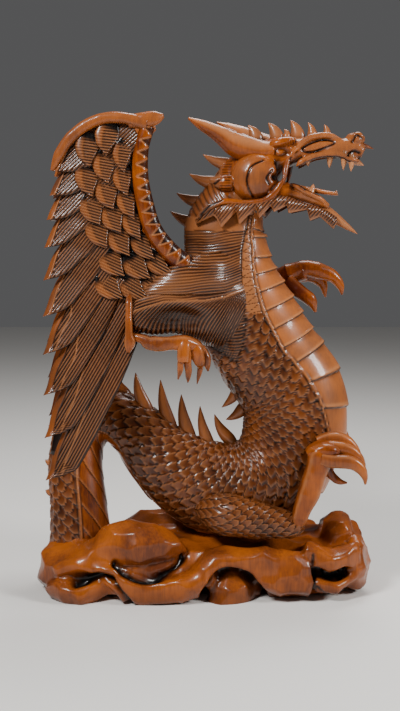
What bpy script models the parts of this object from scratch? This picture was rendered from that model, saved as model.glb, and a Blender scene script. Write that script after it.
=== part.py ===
"""A wooden dragon carving: winged dragon and rock base cut from one block.

The dragon faces +X, its far side is +Y, and the base's underside lies on Z = 0.
"""

import math

import bmesh
import bpy
from mathutils import Matrix, Vector

# Sizes in metres.
FIGURE_HEIGHT = 0.400  # from the level top of the base to the tops of the wings
BASE_LENGTH = 0.306
BASE_DEPTH = 0.126
BASE_HEIGHT = 0.050  # to the level top of the rock, above which its boulders rise
WING_SPREAD = 0.124  # between the middle planes of the two wings at their tips
FEATHER_THICKNESS = 0.007
COVERT_THICKNESS = 0.008
SPINE_THICKNESS = 0.007
BELLY_STEP = 0.0022  # how far each belly plate stands over the next one
TOOTH_LENGTH = 0.010
FLIGHT_FEATHERS = 10
COVERTS = 8  # in each of the three rows beside the wing's bone
BELLY_PLATES = 14
CARVING_TRIANGLES = 9600

# The figure and the rock are drawn in units that are a millimetre at the sizes above.
# The figure stands as high as its own height says and spreads along the whole base,
# and rock points are shares of the base's sides.
DRAWN_FIGURE = 400
DRAWN_BASE = (306, 126, 50)
HEAD_TURN = math.radians(8)  # towards the near side
HEAD_PIVOT = 33
WING_ROOT = (-20, 46, 312)
WING_REACH = 130  # from the root to where the wing has its whole lean
FEATHER_TILT = math.radians(15)  # lifts each feather's lower edge over the next feather
FAR_WING_BACK = 12  # the far wing is cut a little further back
LEAF_BEND = 2  # how far the middle of a leaf-shaped point is pushed to one side
NEAR, FAR = -1, 1


def figure(x, y, z):
    along = BASE_LENGTH / DRAWN_BASE[0]
    scale = FIGURE_HEIGHT / DRAWN_FIGURE
    return Vector((x * along, y * scale, (z - DRAWN_BASE[2]) * scale + BASE_HEIGHT))


def rock(x, y, z):
    sides = (BASE_LENGTH, BASE_DEPTH, BASE_HEIGHT)
    return Vector([v * side / drawn for v, side, drawn in zip((x, y, z), sides, DRAWN_BASE)])


def drawn(size):
    """A real size in the figure's drawn units."""
    return size * DRAWN_FIGURE / FIGURE_HEIGHT


def curve_through(rows, steps):
    """Rows along a smooth Catmull-Rom curve through the given rows, steps to a stretch."""
    first = [2 * a - b for a, b in zip(rows[0], rows[1])]
    last = [2 * a - b for a, b in zip(rows[-1], rows[-2])]
    padded = [first, *rows, last]
    made = []
    for stretch in range(len(rows) - 1):
        for step in range(steps):
            made.append(between(padded[stretch : stretch + 4], step / steps))
    return [*made, list(rows[-1])]


def between(four, t):
    """The row a share t along the curve from the second row to the third."""
    row = []
    for a, b, c, d in zip(*four):
        bend = (2 * a - 5 * b + 4 * c - d) * t * t + (3 * (b - c) + d - a) * t**3
        row.append(0.5 * (2 * b + (c - a) * t + bend))
    return row


def curve_at(rows, share):
    """The row at a share from 0 to 1 of the way along the rows' curve."""
    stretches = len(rows) - 1
    stretch = min(int(share * stretches), stretches - 1)
    first = [2 * a - b for a, b in zip(rows[0], rows[1])]
    last = [2 * a - b for a, b in zip(rows[-1], rows[-2])]
    padded = [first, *rows, last]
    return between(padded[stretch : stretch + 4], share * stretches - stretch)


def add_object(name, points, faces, place):
    """A closed object from drawn points, mapped to real ones by place."""
    mesh = bpy.data.meshes.new(name)
    mesh.from_pydata([place(*p) for p in points], [], faces)
    shape = bmesh.new()
    shape.from_mesh(mesh)
    bmesh.ops.recalc_face_normals(shape, faces=shape.faces)
    bmesh.ops.triangulate(shape, faces=shape.faces)
    shape.to_mesh(mesh)
    shape.free()
    made = bpy.data.objects.new(name, mesh)
    bpy.context.scene.collection.objects.link(made)
    return made


def join_rings(rings):
    """Points and faces of a closed skin over rings of equal size, with a fan on each end."""
    sides = len(rings[0])
    points = [p for ring in rings for p in ring]
    faces = []
    for i in range(len(rings) - 1):
        for k in range(sides):
            j = (k + 1) % sides
            a, b = i * sides, (i + 1) * sides
            faces.append((a + k, a + j, b + j, b + k))
    for start in (0, len(points) - sides):
        centre = len(points)
        ring = points[start : start + sides]
        points.append([sum(p[axis] for p in ring) / sides for axis in range(3)])
        for k in range(sides):
            faces.append((start + k, start + (k + 1) % sides, centre))
    return points, faces


def ring_frame(before, here, after, tilt=0):
    """A row's centre, its belly-side axis in the figure's plane and its axis across."""
    along = (Vector(after[:3]) - Vector(before[:3])).normalized()
    across = (Vector((0, 1, 0)) - along * along.y).normalized()
    belly = along.cross(across)
    if tilt:
        turn = Matrix.Rotation(tilt, 3, along)
        across, belly = turn @ across, turn @ belly
    return Vector(here[:3]), belly, across


def tube(name, rows, place=figure, sides=10, steps=3, tilt=0):
    """A limb through rows of x, y, z, half width in the figure's plane and half depth."""
    rows = curve_through(rows, steps)
    rings = []
    for i, row in enumerate(rows):
        before, after = rows[max(i - 1, 0)], rows[min(i + 1, len(rows) - 1)]
        centre, belly, across = ring_frame(before, row, after, tilt)
        ring = []
        for k in range(sides):
            turn = math.tau * k / sides
            ring.append(centre + belly * math.cos(turn) * row[3] + across * math.sin(turn) * row[4])
        rings.append(ring)
    points, faces = join_rings(rings)
    return add_object(name, points, faces, place)


def lump(name, centre, radii, place=figure, tilt=0, sides=10, levels=6):
    """An ellipsoid, turned by tilt degrees in the figure's plane."""
    turn = Matrix.Rotation(math.radians(tilt), 3, "Y")
    rings = []
    for level in range(1, levels):
        slope = math.pi * level / levels
        ring = []
        for k in range(sides):
            around = math.tau * k / sides
            offset = Vector(
                (
                    radii[0] * math.cos(slope),
                    radii[1] * math.sin(slope) * math.cos(around),
                    radii[2] * math.sin(slope) * math.sin(around),
                )
            )
            ring.append(Vector(centre) + turn @ offset)
        rings.append(ring)
    points, faces = join_rings(rings)
    poles = [Vector(centre) + turn @ Vector((radii[0] * end, 0, 0)) for end in (1, -1)]
    points[-2:] = poles
    return add_object(name, points, faces, place)


def spike(name, root, tip, width, thickness, bend=0.0, place=figure):
    """A leaf-shaped point from root to tip, whose middle is pushed sideways by bend."""
    root, tip = Vector(root), Vector(tip)
    along = tip - root
    side = along.cross(Vector((0, 1, 0))).normalized()
    rows = []
    for share, wide in ((-0.25, 0.9), (0.15, 1.0), (0.7, 0.55), (1.0, 0.1)):
        centre = root + along * share + side * bend * math.sin(math.pi * max(share, 0))
        rows.append([*centre, width / 2 * wide, thickness / 2 * max(wide, 0.25)])
    return tube(name, rows, place, sides=4, steps=1)


# The trunk's path from the head joint down to the tail's foot in the base.
TRUNK = [
    (36, -1, 388, 25, 20),
    (20, 0, 352, 37, 28),
    (20, 0, 326, 40, 31),
    (25, 0, 297, 44, 34),
    (39, 0, 264, 48, 36),
    (60, 0, 228, 49, 37),
    (84, 0, 190, 50, 38),
    (86, 0, 152, 49, 37),
    (73, 0, 117, 47, 36),
    (47, 0, 98, 46, 36),
    (14, 0, 95, 45, 34),
    (-17, 0, 107, 41, 32),
    (-44, 2, 127, 34, 28),
    (-65, 8, 149, 28, 25),
    (-85, 16, 162, 26, 23),
    (-106, 20, 161, 25, 22),
    (-122, 18, 143, 25, 22),
    (-126, 10, 115, 26, 22),
    (-123, 4, 83, 27, 23),
    (-121, 0, 48, 29, 24),
    (-121, 0, 16, 30, 25),
]
BELLY_START, BELLY_END = 0.03, 0.45  # shares of the trunk's path that the large plates cover
BELLY_HALF_ANGLE = 62  # degrees to each side of the middle of the belly
PLATE_SLOPE = 0.94  # share of a plate's length over which it rises, before the step down
TRUNK_SIDES = 14
TAIL_RINGS = 15
PATH_STEP = 0.01  # share of the path over which its direction is read


def belly_rise(share, turn):
    """How far the skin stands out at a share of the path, a turn away from the belly's middle."""
    if abs(turn) > math.radians(BELLY_HALF_ANGLE) or not BELLY_START <= share <= BELLY_END:
        return 0
    plate = (share - BELLY_START) / (BELLY_END - BELLY_START) * BELLY_PLATES
    return drawn(BELLY_STEP) * (plate - math.floor(plate))


def add_trunk():
    """The body from neck to tail in one bent tube, with overlapping plates down its belly."""
    plate = (BELLY_END - BELLY_START) / BELLY_PLATES
    shares = [0.0]
    for i in range(BELLY_PLATES):
        start = BELLY_START + i * plate
        shares += [start, start + PLATE_SLOPE * plate]
    shares += [BELLY_END + (1 - BELLY_END) * i / TAIL_RINGS for i in range(TAIL_RINGS + 1)]
    rings = []
    for share in shares:
        row = curve_at(TRUNK, share)
        before = curve_at(TRUNK, max(share - PATH_STEP, 0))
        after = curve_at(TRUNK, min(share + PATH_STEP, 1))
        centre, belly, across = ring_frame(before, row, after)
        ring = []
        for k in range(TRUNK_SIDES):
            turn = math.tau * (k + 0.5) / TRUNK_SIDES
            rise = belly_rise(share, min(turn, math.tau - turn))
            wide, deep = row[3] + rise, row[4] + rise
            ring.append(centre + belly * math.cos(turn) * wide + across * math.sin(turn) * deep)
        rings.append(ring)
    points, faces = join_rings(rings)
    return add_object("trunk", points, faces, figure)


# Each spine's root and tip as x and z, in groups that share a width and a y.
NECK_SPINES = [((26, 405), (-2, 415)), ((12, 388), (-15, 397)), ((0, 370), (-27, 379))]
NECK_SPINES.append(((-6, 350), (-33, 362)))
BEND_SPINES = [((34, 196), (16, 175)), ((38, 176), (20, 163)), ((24, 143), (9, 168))]
BEND_SPINES.append(((4, 137), (-5, 176)))
TAIL_SPINES = [((-15, 143), (-23, 187)), ((-33, 152), (-43, 201)), ((-56, 170), (-67, 208))]
OVER_SPINES = [((-78, 184), (-85, 203)), ((-98, 186), (-106, 202)), ((-118, 172), (-132, 184))]
DOWN_SPINES = [((-138, 150), (-152, 156)), ((-144, 120), (-156, 122)), ((-146, 92), (-156, 92))]
SPINE_GROUPS = [
    (NECK_SPINES, 13, 0),
    (BEND_SPINES, 12, 0),
    (TAIL_SPINES, 14, 3),
    (OVER_SPINES, 13, 17),
    (DOWN_SPINES, 12, 8),
]


def add_spines():
    """The row of leaf-shaped spines down the neck, round the inner bend and over the tail."""
    made = []
    thick = drawn(SPINE_THICKNESS)
    for group, width, y in SPINE_GROUPS:
        for root, tip in group:
            root, tip = (root[0], y, root[1]), (tip[0], y, tip[1])
            made.append(spike(f"spine_{len(made)}", root, tip, width, thick, bend=LEAF_BEND))
    return made


def wing_y(side, x, z):
    """The middle plane of a wing, which leans out from its root to its tips."""
    reach = math.hypot(x - WING_ROOT[0], z - WING_ROOT[2]) / WING_REACH
    lean = drawn(WING_SPREAD) / 2 - WING_ROOT[1]
    return side * (WING_ROOT[1] + lean * min(reach, 1))


def wing_rows(side, rows):
    """Rows of x, z, half width and half depth laid in a wing's plane."""
    back = FAR_WING_BACK if side == FAR else 0
    return [(x - back, wing_y(side, x, z) + side * out, z, w, d) for x, z, w, d, out in rows]


# The leading bone's line, and the curves that the flight feathers' roots and tips lie on.
WING_EDGE = [(2, 296), (-16, 311), (-33, 326), (-47, 345), (-54, 368), (-58, 392)]
WING_EDGE += [(-57, 416), (-51, 436)]
FEATHER_ROOTS = [(-64, 436), (-96, 386), (-93, 328), (-72, 266)]
FEATHER_TIPS = [(-136, 397), (-144, 329), (-146, 233), (-146, 118)]
FEATHER_HALF_WIDTH = 11  # and 2 more in the middle of the fan
TOP_BULGE, LOW_BULGE = 17, 3  # how far the feathers bow outwards, from the top of the fan down
FEATHER_PROFILE = [(0, 0.8), (0.35, 1.0), (0.7, 1.0), (0.88, 0.62), (1, 0.12)]
COVERT_INSETS = (13, 27, 41)  # of each row from the leading bone's line
COVERT_START, COVERT_SPAN = 0.24, 0.66  # the part of that line that a row covers
COVERT_LENGTH, COVERT_HALF_WIDTH = 27, 10
COVERT_PROFILE = [(0, 0.6), (0.55, 1.0), (1, 0.2)]


def add_wing(side):
    """One wing: its leading bone, flight feathers, rows of coverts and the web that backs them."""
    label = "near" if side == NEAR else "far"
    widths = [9, 10, 8, 7, 6, 6, 6, 6]
    sunk = [-12, -5, 0, 0, 0, 0, 0, 0]  # the root runs into the shoulder
    bone = [(x, z, w, w, out) for (x, z), w, out in zip(WING_EDGE, widths, sunk)]
    made = [tube(f"{label}_wing_bone", wing_rows(side, bone), sides=8, steps=1)]
    spur = [(-66, 442, 6, 6, 0), (-54, 441, 7, 6, 0), (-44, 443, 6, 5, 0), (-37, 445, 2, 2, 0)]
    made.append(tube(f"{label}_wing_spur", wing_rows(side, spur), sides=6, steps=1))
    made += add_flight_feathers(side, label)
    made += add_coverts(side, label)
    web = [(-64, 434, 8, 3, 0), (-84, 414, 28, 3, 0), (-90, 380, 34, 3, 0), (-92, 340, 37, 3, 0)]
    web += [(-94, 300, 35, 3, 0), (-98, 262, 26, 3, 0), (-110, 220, 18, 3, 0), (-126, 172, 12, 3, 0)]
    web.append((-140, 136, 4, 2, 0))
    made.append(tube(f"{label}_wing_web", wing_rows(side, web), sides=6, steps=1))
    root = [(-84, 318, 26, 3, 0), (-62, 304, 34, 4, 0), (-42, 286, 30, 6, 0), (-20, 280, 24, 8, 0)]
    made.append(tube(f"{label}_wing_root", wing_rows(side, root), sides=6, steps=1))
    return made


def add_flight_feathers(side, label):
    """Long curved feathers in a fan, each overlapping the next one below it."""
    made = []
    thick = drawn(FEATHER_THICKNESS) / 2
    for i in range(FLIGHT_FEATHERS):
        share = i / (FLIGHT_FEATHERS - 1)
        root = Vector(curve_at(FEATHER_ROOTS, share))
        tip = Vector(curve_at(FEATHER_TIPS, share))
        chord = tip - root
        outward = Vector((chord.y, -chord.x)).normalized()
        bulge = TOP_BULGE + (LOW_BULGE - TOP_BULGE) * share**0.7
        widest = FEATHER_HALF_WIDTH + 2 * math.sin(math.pi * share)
        rows = []
        for along, wide in FEATHER_PROFILE:
            p = root + chord * along + outward * bulge * math.sin(math.pi * along)
            rows.append((p.x, p.y, widest * wide, thick * max(wide, 0.4), 0))
        name = f"{label}_flight_feather_{i}"
        made.append(tube(name, wing_rows(side, rows), sides=4, steps=1, tilt=-side * FEATHER_TILT))
    return made


def add_coverts(side, label):
    """Rows of short feathers beside the leading bone, each row set off from the next."""
    made = []
    thick = drawn(COVERT_THICKNESS) / 2
    for column, inset in enumerate(COVERT_INSETS):
        for i in range(COVERTS):
            share = COVERT_START + COVERT_SPAN * (i + 0.5 * (column % 2)) / (COVERTS - 0.5)
            x, z = curve_at(WING_EDGE, share)
            ahead = curve_at(WING_EDGE, share + 0.03)
            along = Vector((ahead[0] - x, ahead[1] - z)).normalized()
            inward = Vector((-along.y, along.x))
            top = Vector((x, z)) + inward * inset + along * 8
            rows = []
            for step, wide in COVERT_PROFILE:
                p = top - along * COVERT_LENGTH * step + inward * 6 * step
                lift = 1 + 2.5 * step  # the tip stands out over the next feather
                rows.append((p.x, p.y, COVERT_HALF_WIDTH * wide, thick * max(wide, 0.5), lift))
            name = f"{label}_covert_{column}_{i}"
            made.append(tube(name, wing_rows(side, rows), sides=4, steps=1))
    return made


def add_mantle(side):
    """The muscle that runs from the chest over a shoulder into the wing's root."""
    rows = [(24, 16, 300, 24, 16), (2, 28, 299, 26, 18), (-22, 38, 295, 21, 15), (-44, 45, 287, 14, 9)]
    rows = [(x, side * y, z, w, d) for x, y, z, w, d in rows]
    return tube(f"mantle_{side}", rows, sides=10, steps=1)


def add_near_arm():
    """The near shoulder and arm, bent back at the elbow with the hand against the chest."""
    shoulder = [(34, -14, 262, 34, 20), (8, -24, 276, 37, 22), (-23, -38, 278, 26, 19)]
    shoulder += [(-50, -50, 271, 19, 14), (-66, -57, 268, 13, 9), (-73, -60, 267, 7, 6)]
    arm = [(-66, -58, 276, 8, 8), (-70, -62, 262, 8, 8), (-66, -65, 250, 9, 8)]
    arm += [(-50, -66, 244, 9, 8), (-30, -63, 244, 9, 9), (-14, -57, 238, 11, 10)]
    arm += [(0, -48, 228, 9, 9), (8, -40, 220, 6, 6)]
    made = [tube("near_shoulder", shoulder, sides=10, steps=1)]
    made.append(tube("near_arm", arm, sides=8, steps=1))
    made.append(add_mantle(NEAR))
    made.append(spike("near_elbow_spur", (-68, -64, 250), (-70, -64, 232), 7, 7))
    claws = [((-22, -62, 236), (-23, -62, 210)), ((-12, -58, 232), (-15, -60, 206))]
    claws += [((-3, -52, 226), (-6, -56, 204)), ((4, -46, 224), (7, -50, 206))]
    for i, (root, tip) in enumerate(claws):
        made.append(spike(f"near_finger_{i}", root, tip, 9, 9, bend=LEAF_BEND))
    return made


def add_far_arm():
    """The far shoulder and arm, held forward past the chest with its fingers curled."""
    shoulder = [(30, 12, 264, 30, 20), (8, 24, 276, 34, 22), (-20, 36, 282, 26, 17)]
    shoulder.append((-34, 42, 296, 18, 9))
    arm = [(8, 30, 284, 17, 14), (34, 42, 289, 14, 12), (62, 45, 292, 11, 10)]
    arm += [(84, 41, 302, 10, 9), (98, 37, 306, 9, 9)]
    made = [tube("far_shoulder", shoulder, sides=10, steps=1)]
    made.append(tube("far_arm", arm, sides=8, steps=1))
    made.append(add_mantle(FAR))
    top = [(84, 37, 302, 9, 8), (100, 37, 308, 7, 8), (115, 38, 304, 7, 7)]
    top += [(128, 38, 298, 6, 6), (134, 38, 283, 2, 2)]
    inner = [(80, 33, 294, 9, 8), (93, 28, 284, 7, 7), (104, 26, 276, 6, 6)]
    inner.append((108, 27, 265, 2, 2))
    outer = [(84, 46, 300, 7, 7), (104, 50, 300, 6, 6), (118, 51, 290, 5, 5)]
    outer.append((120, 50, 278, 2, 2))
    for i, finger in enumerate((top, inner, outer)):
        made.append(tube(f"far_finger_{i}", finger, sides=6, steps=1))
    return made


def add_leg(side):
    """A folded hind leg: haunch, knee on the rock, shin standing up and the foot hooked over."""
    label = "near" if side == NEAR else "far"
    thigh = [(4, 20, 86, 12, 8), (16, 33, 84, 22, 14), (32, 40, 82, 25, 18)]
    thigh += [(58, 45, 76, 20, 15), (80, 47, 76, 16, 12), (90, 48, 82, 10, 9)]
    shin = [(84, 46, 72, 12, 10), (93, 47, 88, 14, 11), (103, 48, 110, 14, 11)]
    shin += [(108, 49, 132, 13, 11), (116, 50, 147, 10, 12), (131, 50, 148, 9, 13)]
    shin.append((141, 51, 140, 7, 11))
    heel = [(110, 50, 136, 8, 8), (116, 51, 124, 6, 6), (128, 51, 113, 1.5, 1.5)]
    limbs = [("thigh", thigh, 10), ("shin", shin, 8), ("heel_claw", heel, 6)]
    for i, y in enumerate((41, 51, 60)):
        toe = [(134, y, 146, 6, 5), (143, y, 140, 5, 5), (147, y, 128, 4, 4)]
        toe.append((143, y, 117, 1.5, 1.5))
        limbs.append((f"toe_{i}", toe, 6))
    made = []
    for name, rows, sides in limbs:
        rows = [(x, side * y, z, w, d) for x, y, z, w, d in rows]
        made.append(tube(f"{label}_{name}", rows, sides=sides, steps=1))
    return made


def head(x, y, z):
    """A point of the head, which is turned a little to the near side about the neck."""
    ahead = x - HEAD_PIVOT
    turned_x = HEAD_PIVOT + ahead * math.cos(HEAD_TURN) + y * math.sin(HEAD_TURN)
    return figure(turned_x, y * math.cos(HEAD_TURN) - ahead * math.sin(HEAD_TURN), z)


def add_head():
    """Skull, jaws, cheeks, nose, horns, crest and tongue."""
    skull = [(22, 0, 366, 24, 22), (34, 0, 386, 26, 24), (48, 0, 402, 23, 23)]
    skull += [(66, 0, 414, 17, 19), (84, 0, 420, 11, 16)]
    upper = [(66, 0, 414, 15, 18), (86, 0, 419, 12, 16), (106, 0, 423, 10, 14)]
    upper += [(126, 0, 420, 10, 12), (140, 0, 418, 9, 10), (147, 0, 415, 6, 8)]
    lower = [(58, 0, 378, 12, 20), (76, 0, 379, 10, 18), (92, 0, 377, 8, 15)]
    lower += [(105, 0, 372, 6, 11), (116, 0, 366, 3, 6)]
    tongue = [(84, 0, 384, 4, 8), (104, 0, 383, 3, 6), (122, 0, 380, 2, 3)]
    made = [
        tube("skull", skull, head, sides=10, steps=1),
        tube("upper_jaw", upper, head, sides=10, steps=1),
        tube("lower_jaw", lower, head, sides=8, steps=1),
        tube("tongue", tongue, head, sides=6, steps=1),
        lump("nose", (141, 0, 429), (9, 9, 6), head, sides=8, levels=5),
        spike("nose_spur", (144, 0, 422), (157, 0, 419), 6, 8, place=head),
        spike("upper_lip", (134, 0, 411), (147, 0, 405), 8, 14, place=head),
    ]
    for side in (NEAR, FAR):
        made += add_face_lumps(side)
    near_horn = [(66, -12, 420, 9, 8), (46, -17, 422, 10, 8), (22, -23, 431, 8, 7)]
    near_horn += [(2, -28, 438, 5, 5), (-14, -31, 446, 1, 1)]
    far_horn = [(66, 12, 424, 9, 8), (50, 16, 430, 9, 8), (32, 22, 438, 7, 6), (11, 27, 449, 1, 1)]
    made.append(tube("near_horn", near_horn, figure, sides=6, steps=1))
    made.append(tube("far_horn", far_horn, figure, sides=6, steps=1))
    return made + add_crest() + add_teeth() + add_beard()


def add_face_lumps(side):
    """The cheek, brow and nostril of one side."""
    cheek = lump(f"cheek_{side}", (48, side * 19, 392), (24, 15, 24.5), head, sides=12, levels=7)
    brow_place = (68, side * 13, 422)
    brow = lump(f"brow_{side}", brow_place, (12, 8, 6), head, tilt=-8, sides=8, levels=5)
    nostril = lump(f"nostril_{side}", (143, side * 7, 431), (5, 4, 5), head, sides=8, levels=5)
    return [cheek, brow, nostril]


# Each crest spine's root and tip as x and z on the middle of the head, and its width.
CREST = [((50, 428), (40, 440), 7), ((70, 428), (59, 444), 10), ((79, 431), (76, 438), 6)]
CREST += [((89, 431), (80, 446), 11), ((100, 431), (97, 444), 8), ((114, 430), (111, 442), 8)]


def add_crest():
    """Small spines along the top of the head."""
    made = []
    thick = drawn(SPINE_THICKNESS)
    for i, (root, tip, width) in enumerate(CREST):
        root, tip = (root[0], 0, root[1]), (tip[0], 0, tip[1])
        made.append(spike(f"crest_{i}", root, tip, width, thick, place=head))
    return made


# The upper teeth's roots as x and z, with each tooth's share of the named length.
UPPER_TEETH = [(97, 412, 0.9), (117, 413, 1.3), (130, 411, 1.2), (137, 408, 1.0)]
LOWER_TOOTH = (100, 378)
TOOTH_SIDE = 8  # from the middle of the jaw


def add_teeth():
    """Fangs down each side of the upper jaw and a pair at the front of the lower one."""
    made = []
    length = drawn(TOOTH_LENGTH)
    for side in (NEAR, FAR):
        y = side * TOOTH_SIDE
        for i, (x, z, size) in enumerate(UPPER_TEETH):
            root, tip = (x, y, z + 3), (x, y, z - length * size)
            made.append(spike(f"upper_tooth_{side}_{i}", root, tip, 4, 4, place=head))
        x, z = LOWER_TOOTH
        tip = (x + 3, y, z + length * 0.8)
        made.append(spike(f"lower_tooth_{side}", (x, y, z), tip, 6, 5, place=head))
    return made


# The beard's upper line below the jaw, and the tips of its points from the nape to the chin.
BEARD_LINE = [(-6, 356), (14, 368), (34, 370), (50, 369), (66, 376), (84, 375)]
BEARD_LINE += [(102, 368), (118, 362)]
BEARD_TIPS = [(15, 345), (31, 348), (49, 352), (62, 357), (77, 357), (98, 349), (121, 342)]
BEARD_DEPTHS = [22, 26, 28, 28, 24, 18, 14, 8]  # of the line's points from the middle


def add_beard():
    """A frill of leaf points below each jaw, and the long spike of the chin."""
    made = []
    rows = [(x, y, z) for (x, z), y in zip(BEARD_LINE, BEARD_DEPTHS)]
    for side in (NEAR, FAR):
        line = [(x, side * y, z - 6, 8, 4) for x, y, z in rows]
        made.append(tube(f"beard_line_{side}", line, head, sides=6, steps=1))
        for i, (x, z) in enumerate(BEARD_TIPS):
            root = curve_at(rows, (i + 0.75) / (len(BEARD_TIPS)))
            root = Vector((root[0], side * root[1], root[2] - 3))
            tip = Vector((x, side * (abs(root.y) - 1), z))
            name = f"beard_{side}_{i}"
            made.append(spike(name, root, tip, 19, 6, bend=-LEAF_BEND, place=head))
    made.append(spike("chin_spike", (114, 0, 362), (143, 0, 341), 9, 9, place=head))
    return made


def add_base():
    """The rock: a long block with boulders, roots and a scrolled right end."""
    block = [(-151, 2, 26, 18, 30), (-140, 0, 24, 26, 46), (-105, 0, 23, 28, 56)]
    block += [(-50, 0, 22, 29, 58), (10, 4, 22, 30, 54), (70, 4, 22, 30, 54)]
    block += [(120, 4, 24, 29, 50), (142, 4, 27, 24, 38), (151, 4, 28, 15, 22)]
    made = [tube("rock_block", block, rock, sides=12, steps=1)]
    boulder = [(-24, -42, 54, 4, 6), (-38, -42, 54, 13, 16), (-58, -42, 52, 20, 22)]
    boulder += [(-80, -40, 50, 24, 22), (-100, -38, 40, 18, 20), (-120, -38, 34, 14, 18)]
    boulder.append((-138, -34, 28, 9, 16))
    made.append(tube("left_boulder", boulder, rock, sides=8, steps=1))
    made.append(lump("left_foot", (-118, -42, 11), (32, 24, 15), rock, tilt=-4))
    band = [(-96, -50, 36, 10, 9), (-80, -56, 22, 11, 10), (-58, -58, 13, 12, 10)]
    band += [(-28, -58, 13, 12, 10), (-6, -56, 18, 13, 10), (8, -53, 32, 12, 11)]
    band += [(26, -51, 39, 10, 12), (46, -50, 37, 13, 13), (64, -49, 28, 19, 13)]
    band += [(84, -47, 26, 20, 13), (99, -44, 26, 17, 12)]
    made.append(tube("root_band", band, rock, sides=6, steps=1))
    made.append(lump("dome", (22, -46, 4), (23, 16, 22), rock, sides=14))
    scroll = [(92, -44, 48, 9, 12), (103, -46, 40, 9, 12), (113, -47, 32, 8, 10)]
    scroll += [(126, -46, 34, 8, 10), (137, -40, 42, 9, 12)]
    made.append(tube("right_scroll", scroll, rock, sides=6, steps=1))
    made.append(lump("right_lip", (121, -42, 12), (17, 15, 10), rock, tilt=-6))
    made.append(lump("right_end", (141, -14, 27), (15, 34, 27), rock))
    made.append(lump("right_rock", (130, 2, 52), (21, 34, 27), rock, tilt=30))
    made.append(lump("back_rock", (-40, 34, 44), (52, 26, 24), rock, tilt=-4))
    made.append(lump("tail_rock", (-122, 0, 34), (32, 38, 20), rock))
    made.append(lump("far_rock", (70, 42, 40), (46, 18, 20), rock))
    return made


def add_below_ground():
    """The cutter that leaves the underside flat."""
    side = 4 * max(BASE_LENGTH, FIGURE_HEIGHT)
    corners = [(x, y, z) for x in (-side, side) for y in (-side, side) for z in (-side, 0)]
    faces = [(0, 1, 3, 2), (4, 6, 7, 5), (0, 4, 5, 1), (2, 3, 7, 6), (0, 2, 6, 4), (1, 5, 7, 3)]
    return add_object("below_ground", corners, faces, lambda x, y, z: Vector((x, y, z)))


def polished_wood():
    """Oiled and varnished tropical hardwood, honey to red brown."""
    made = bpy.data.materials.new("polished_wood")
    made.use_nodes = True
    shader = made.node_tree.nodes["Principled BSDF"]
    shader.inputs["Base Color"].default_value = (0.24, 0.075, 0.020, 1)
    shader.inputs["Roughness"].default_value = 0.32
    shader.inputs["Metallic"].default_value = 0
    return made


def shells_of(shape):
    """The faces of each connected shell of a bmesh."""
    left = set(shape.faces)
    shells = []
    while left:
        shell = [left.pop()]
        for face in shell:
            for edge in face.edges:
                for other in edge.link_faces:
                    if other in left:
                        left.remove(other)
                        shell.append(other)
        shells.append(shell)
    return shells


def fill_pockets(mesh):
    """Deletes shells that face inwards: air sealed in where masses meet, which the wood fills."""
    shape = bmesh.new()
    shape.from_mesh(mesh)
    bmesh.ops.triangulate(shape, faces=shape.faces)
    for shell in shells_of(shape):
        volume = 0
        for face in shell:
            a, b, c = (vert.co for vert in face.verts)
            volume += a.dot(b.cross(c)) / 6
        if volume < 0:
            bmesh.ops.delete(shape, geom=shell, context="FACES")
    shape.to_mesh(mesh)
    shape.free()


def cut_from_one_block(first, others):
    """Joins the carving's masses into one body, lightens its mesh and cuts its underside flat."""
    scene = bpy.context.scene.collection
    masses = bpy.data.collections.new("masses")
    scene.children.link(masses)
    for mass in others:
        scene.objects.unlink(mass)
        masses.objects.link(mass)
    join = first.modifiers.new("join_masses", "BOOLEAN")
    join.operation = "UNION"
    join.operand_type = "COLLECTION"
    join.collection = masses
    join.solver = "MANIFOLD"  # with so many masses the exact solver leaves edges with four faces
    first.data = evaluated_mesh(first, "joined")
    first.modifiers.clear()
    fill_pockets(first.data)
    lighten = first.modifiers.new("lighten", "DECIMATE")
    lighten.ratio = min(1, CARVING_TRIANGLES / len(first.data.polygons))
    ground = add_below_ground()
    flat = first.modifiers.new("flat_underside", "BOOLEAN")
    flat.operation = "DIFFERENCE"
    flat.object = ground
    flat.solver = "EXACT"
    carving = bpy.data.objects.new("dragon_carving", evaluated_mesh(first, "dragon_carving"))
    scene.objects.link(carving)
    for spare in [first, ground, *others]:
        bpy.data.objects.remove(spare)
    bpy.data.collections.remove(masses)
    return carving


def evaluated_mesh(made, name):
    """A mesh with the object's modifiers applied."""
    seen = made.evaluated_get(bpy.context.evaluated_depsgraph_get())
    mesh = bpy.data.meshes.new_from_object(seen)
    mesh.name = name
    return mesh


def main():
    for old in list(bpy.data.objects):
        bpy.data.objects.remove(old)
    trunk = add_trunk()
    masses = add_spines() + add_wing(NEAR) + add_wing(FAR) + add_near_arm() + add_far_arm()
    masses += add_leg(NEAR) + add_leg(FAR) + add_head() + add_base()
    carving = cut_from_one_block(trunk, masses)
    carving.data.materials.clear()
    carving.data.materials.append(polished_wood())
    carving.data.shade_smooth()
    carving.data.set_sharp_from_angle(angle=math.radians(35))


main()
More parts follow.
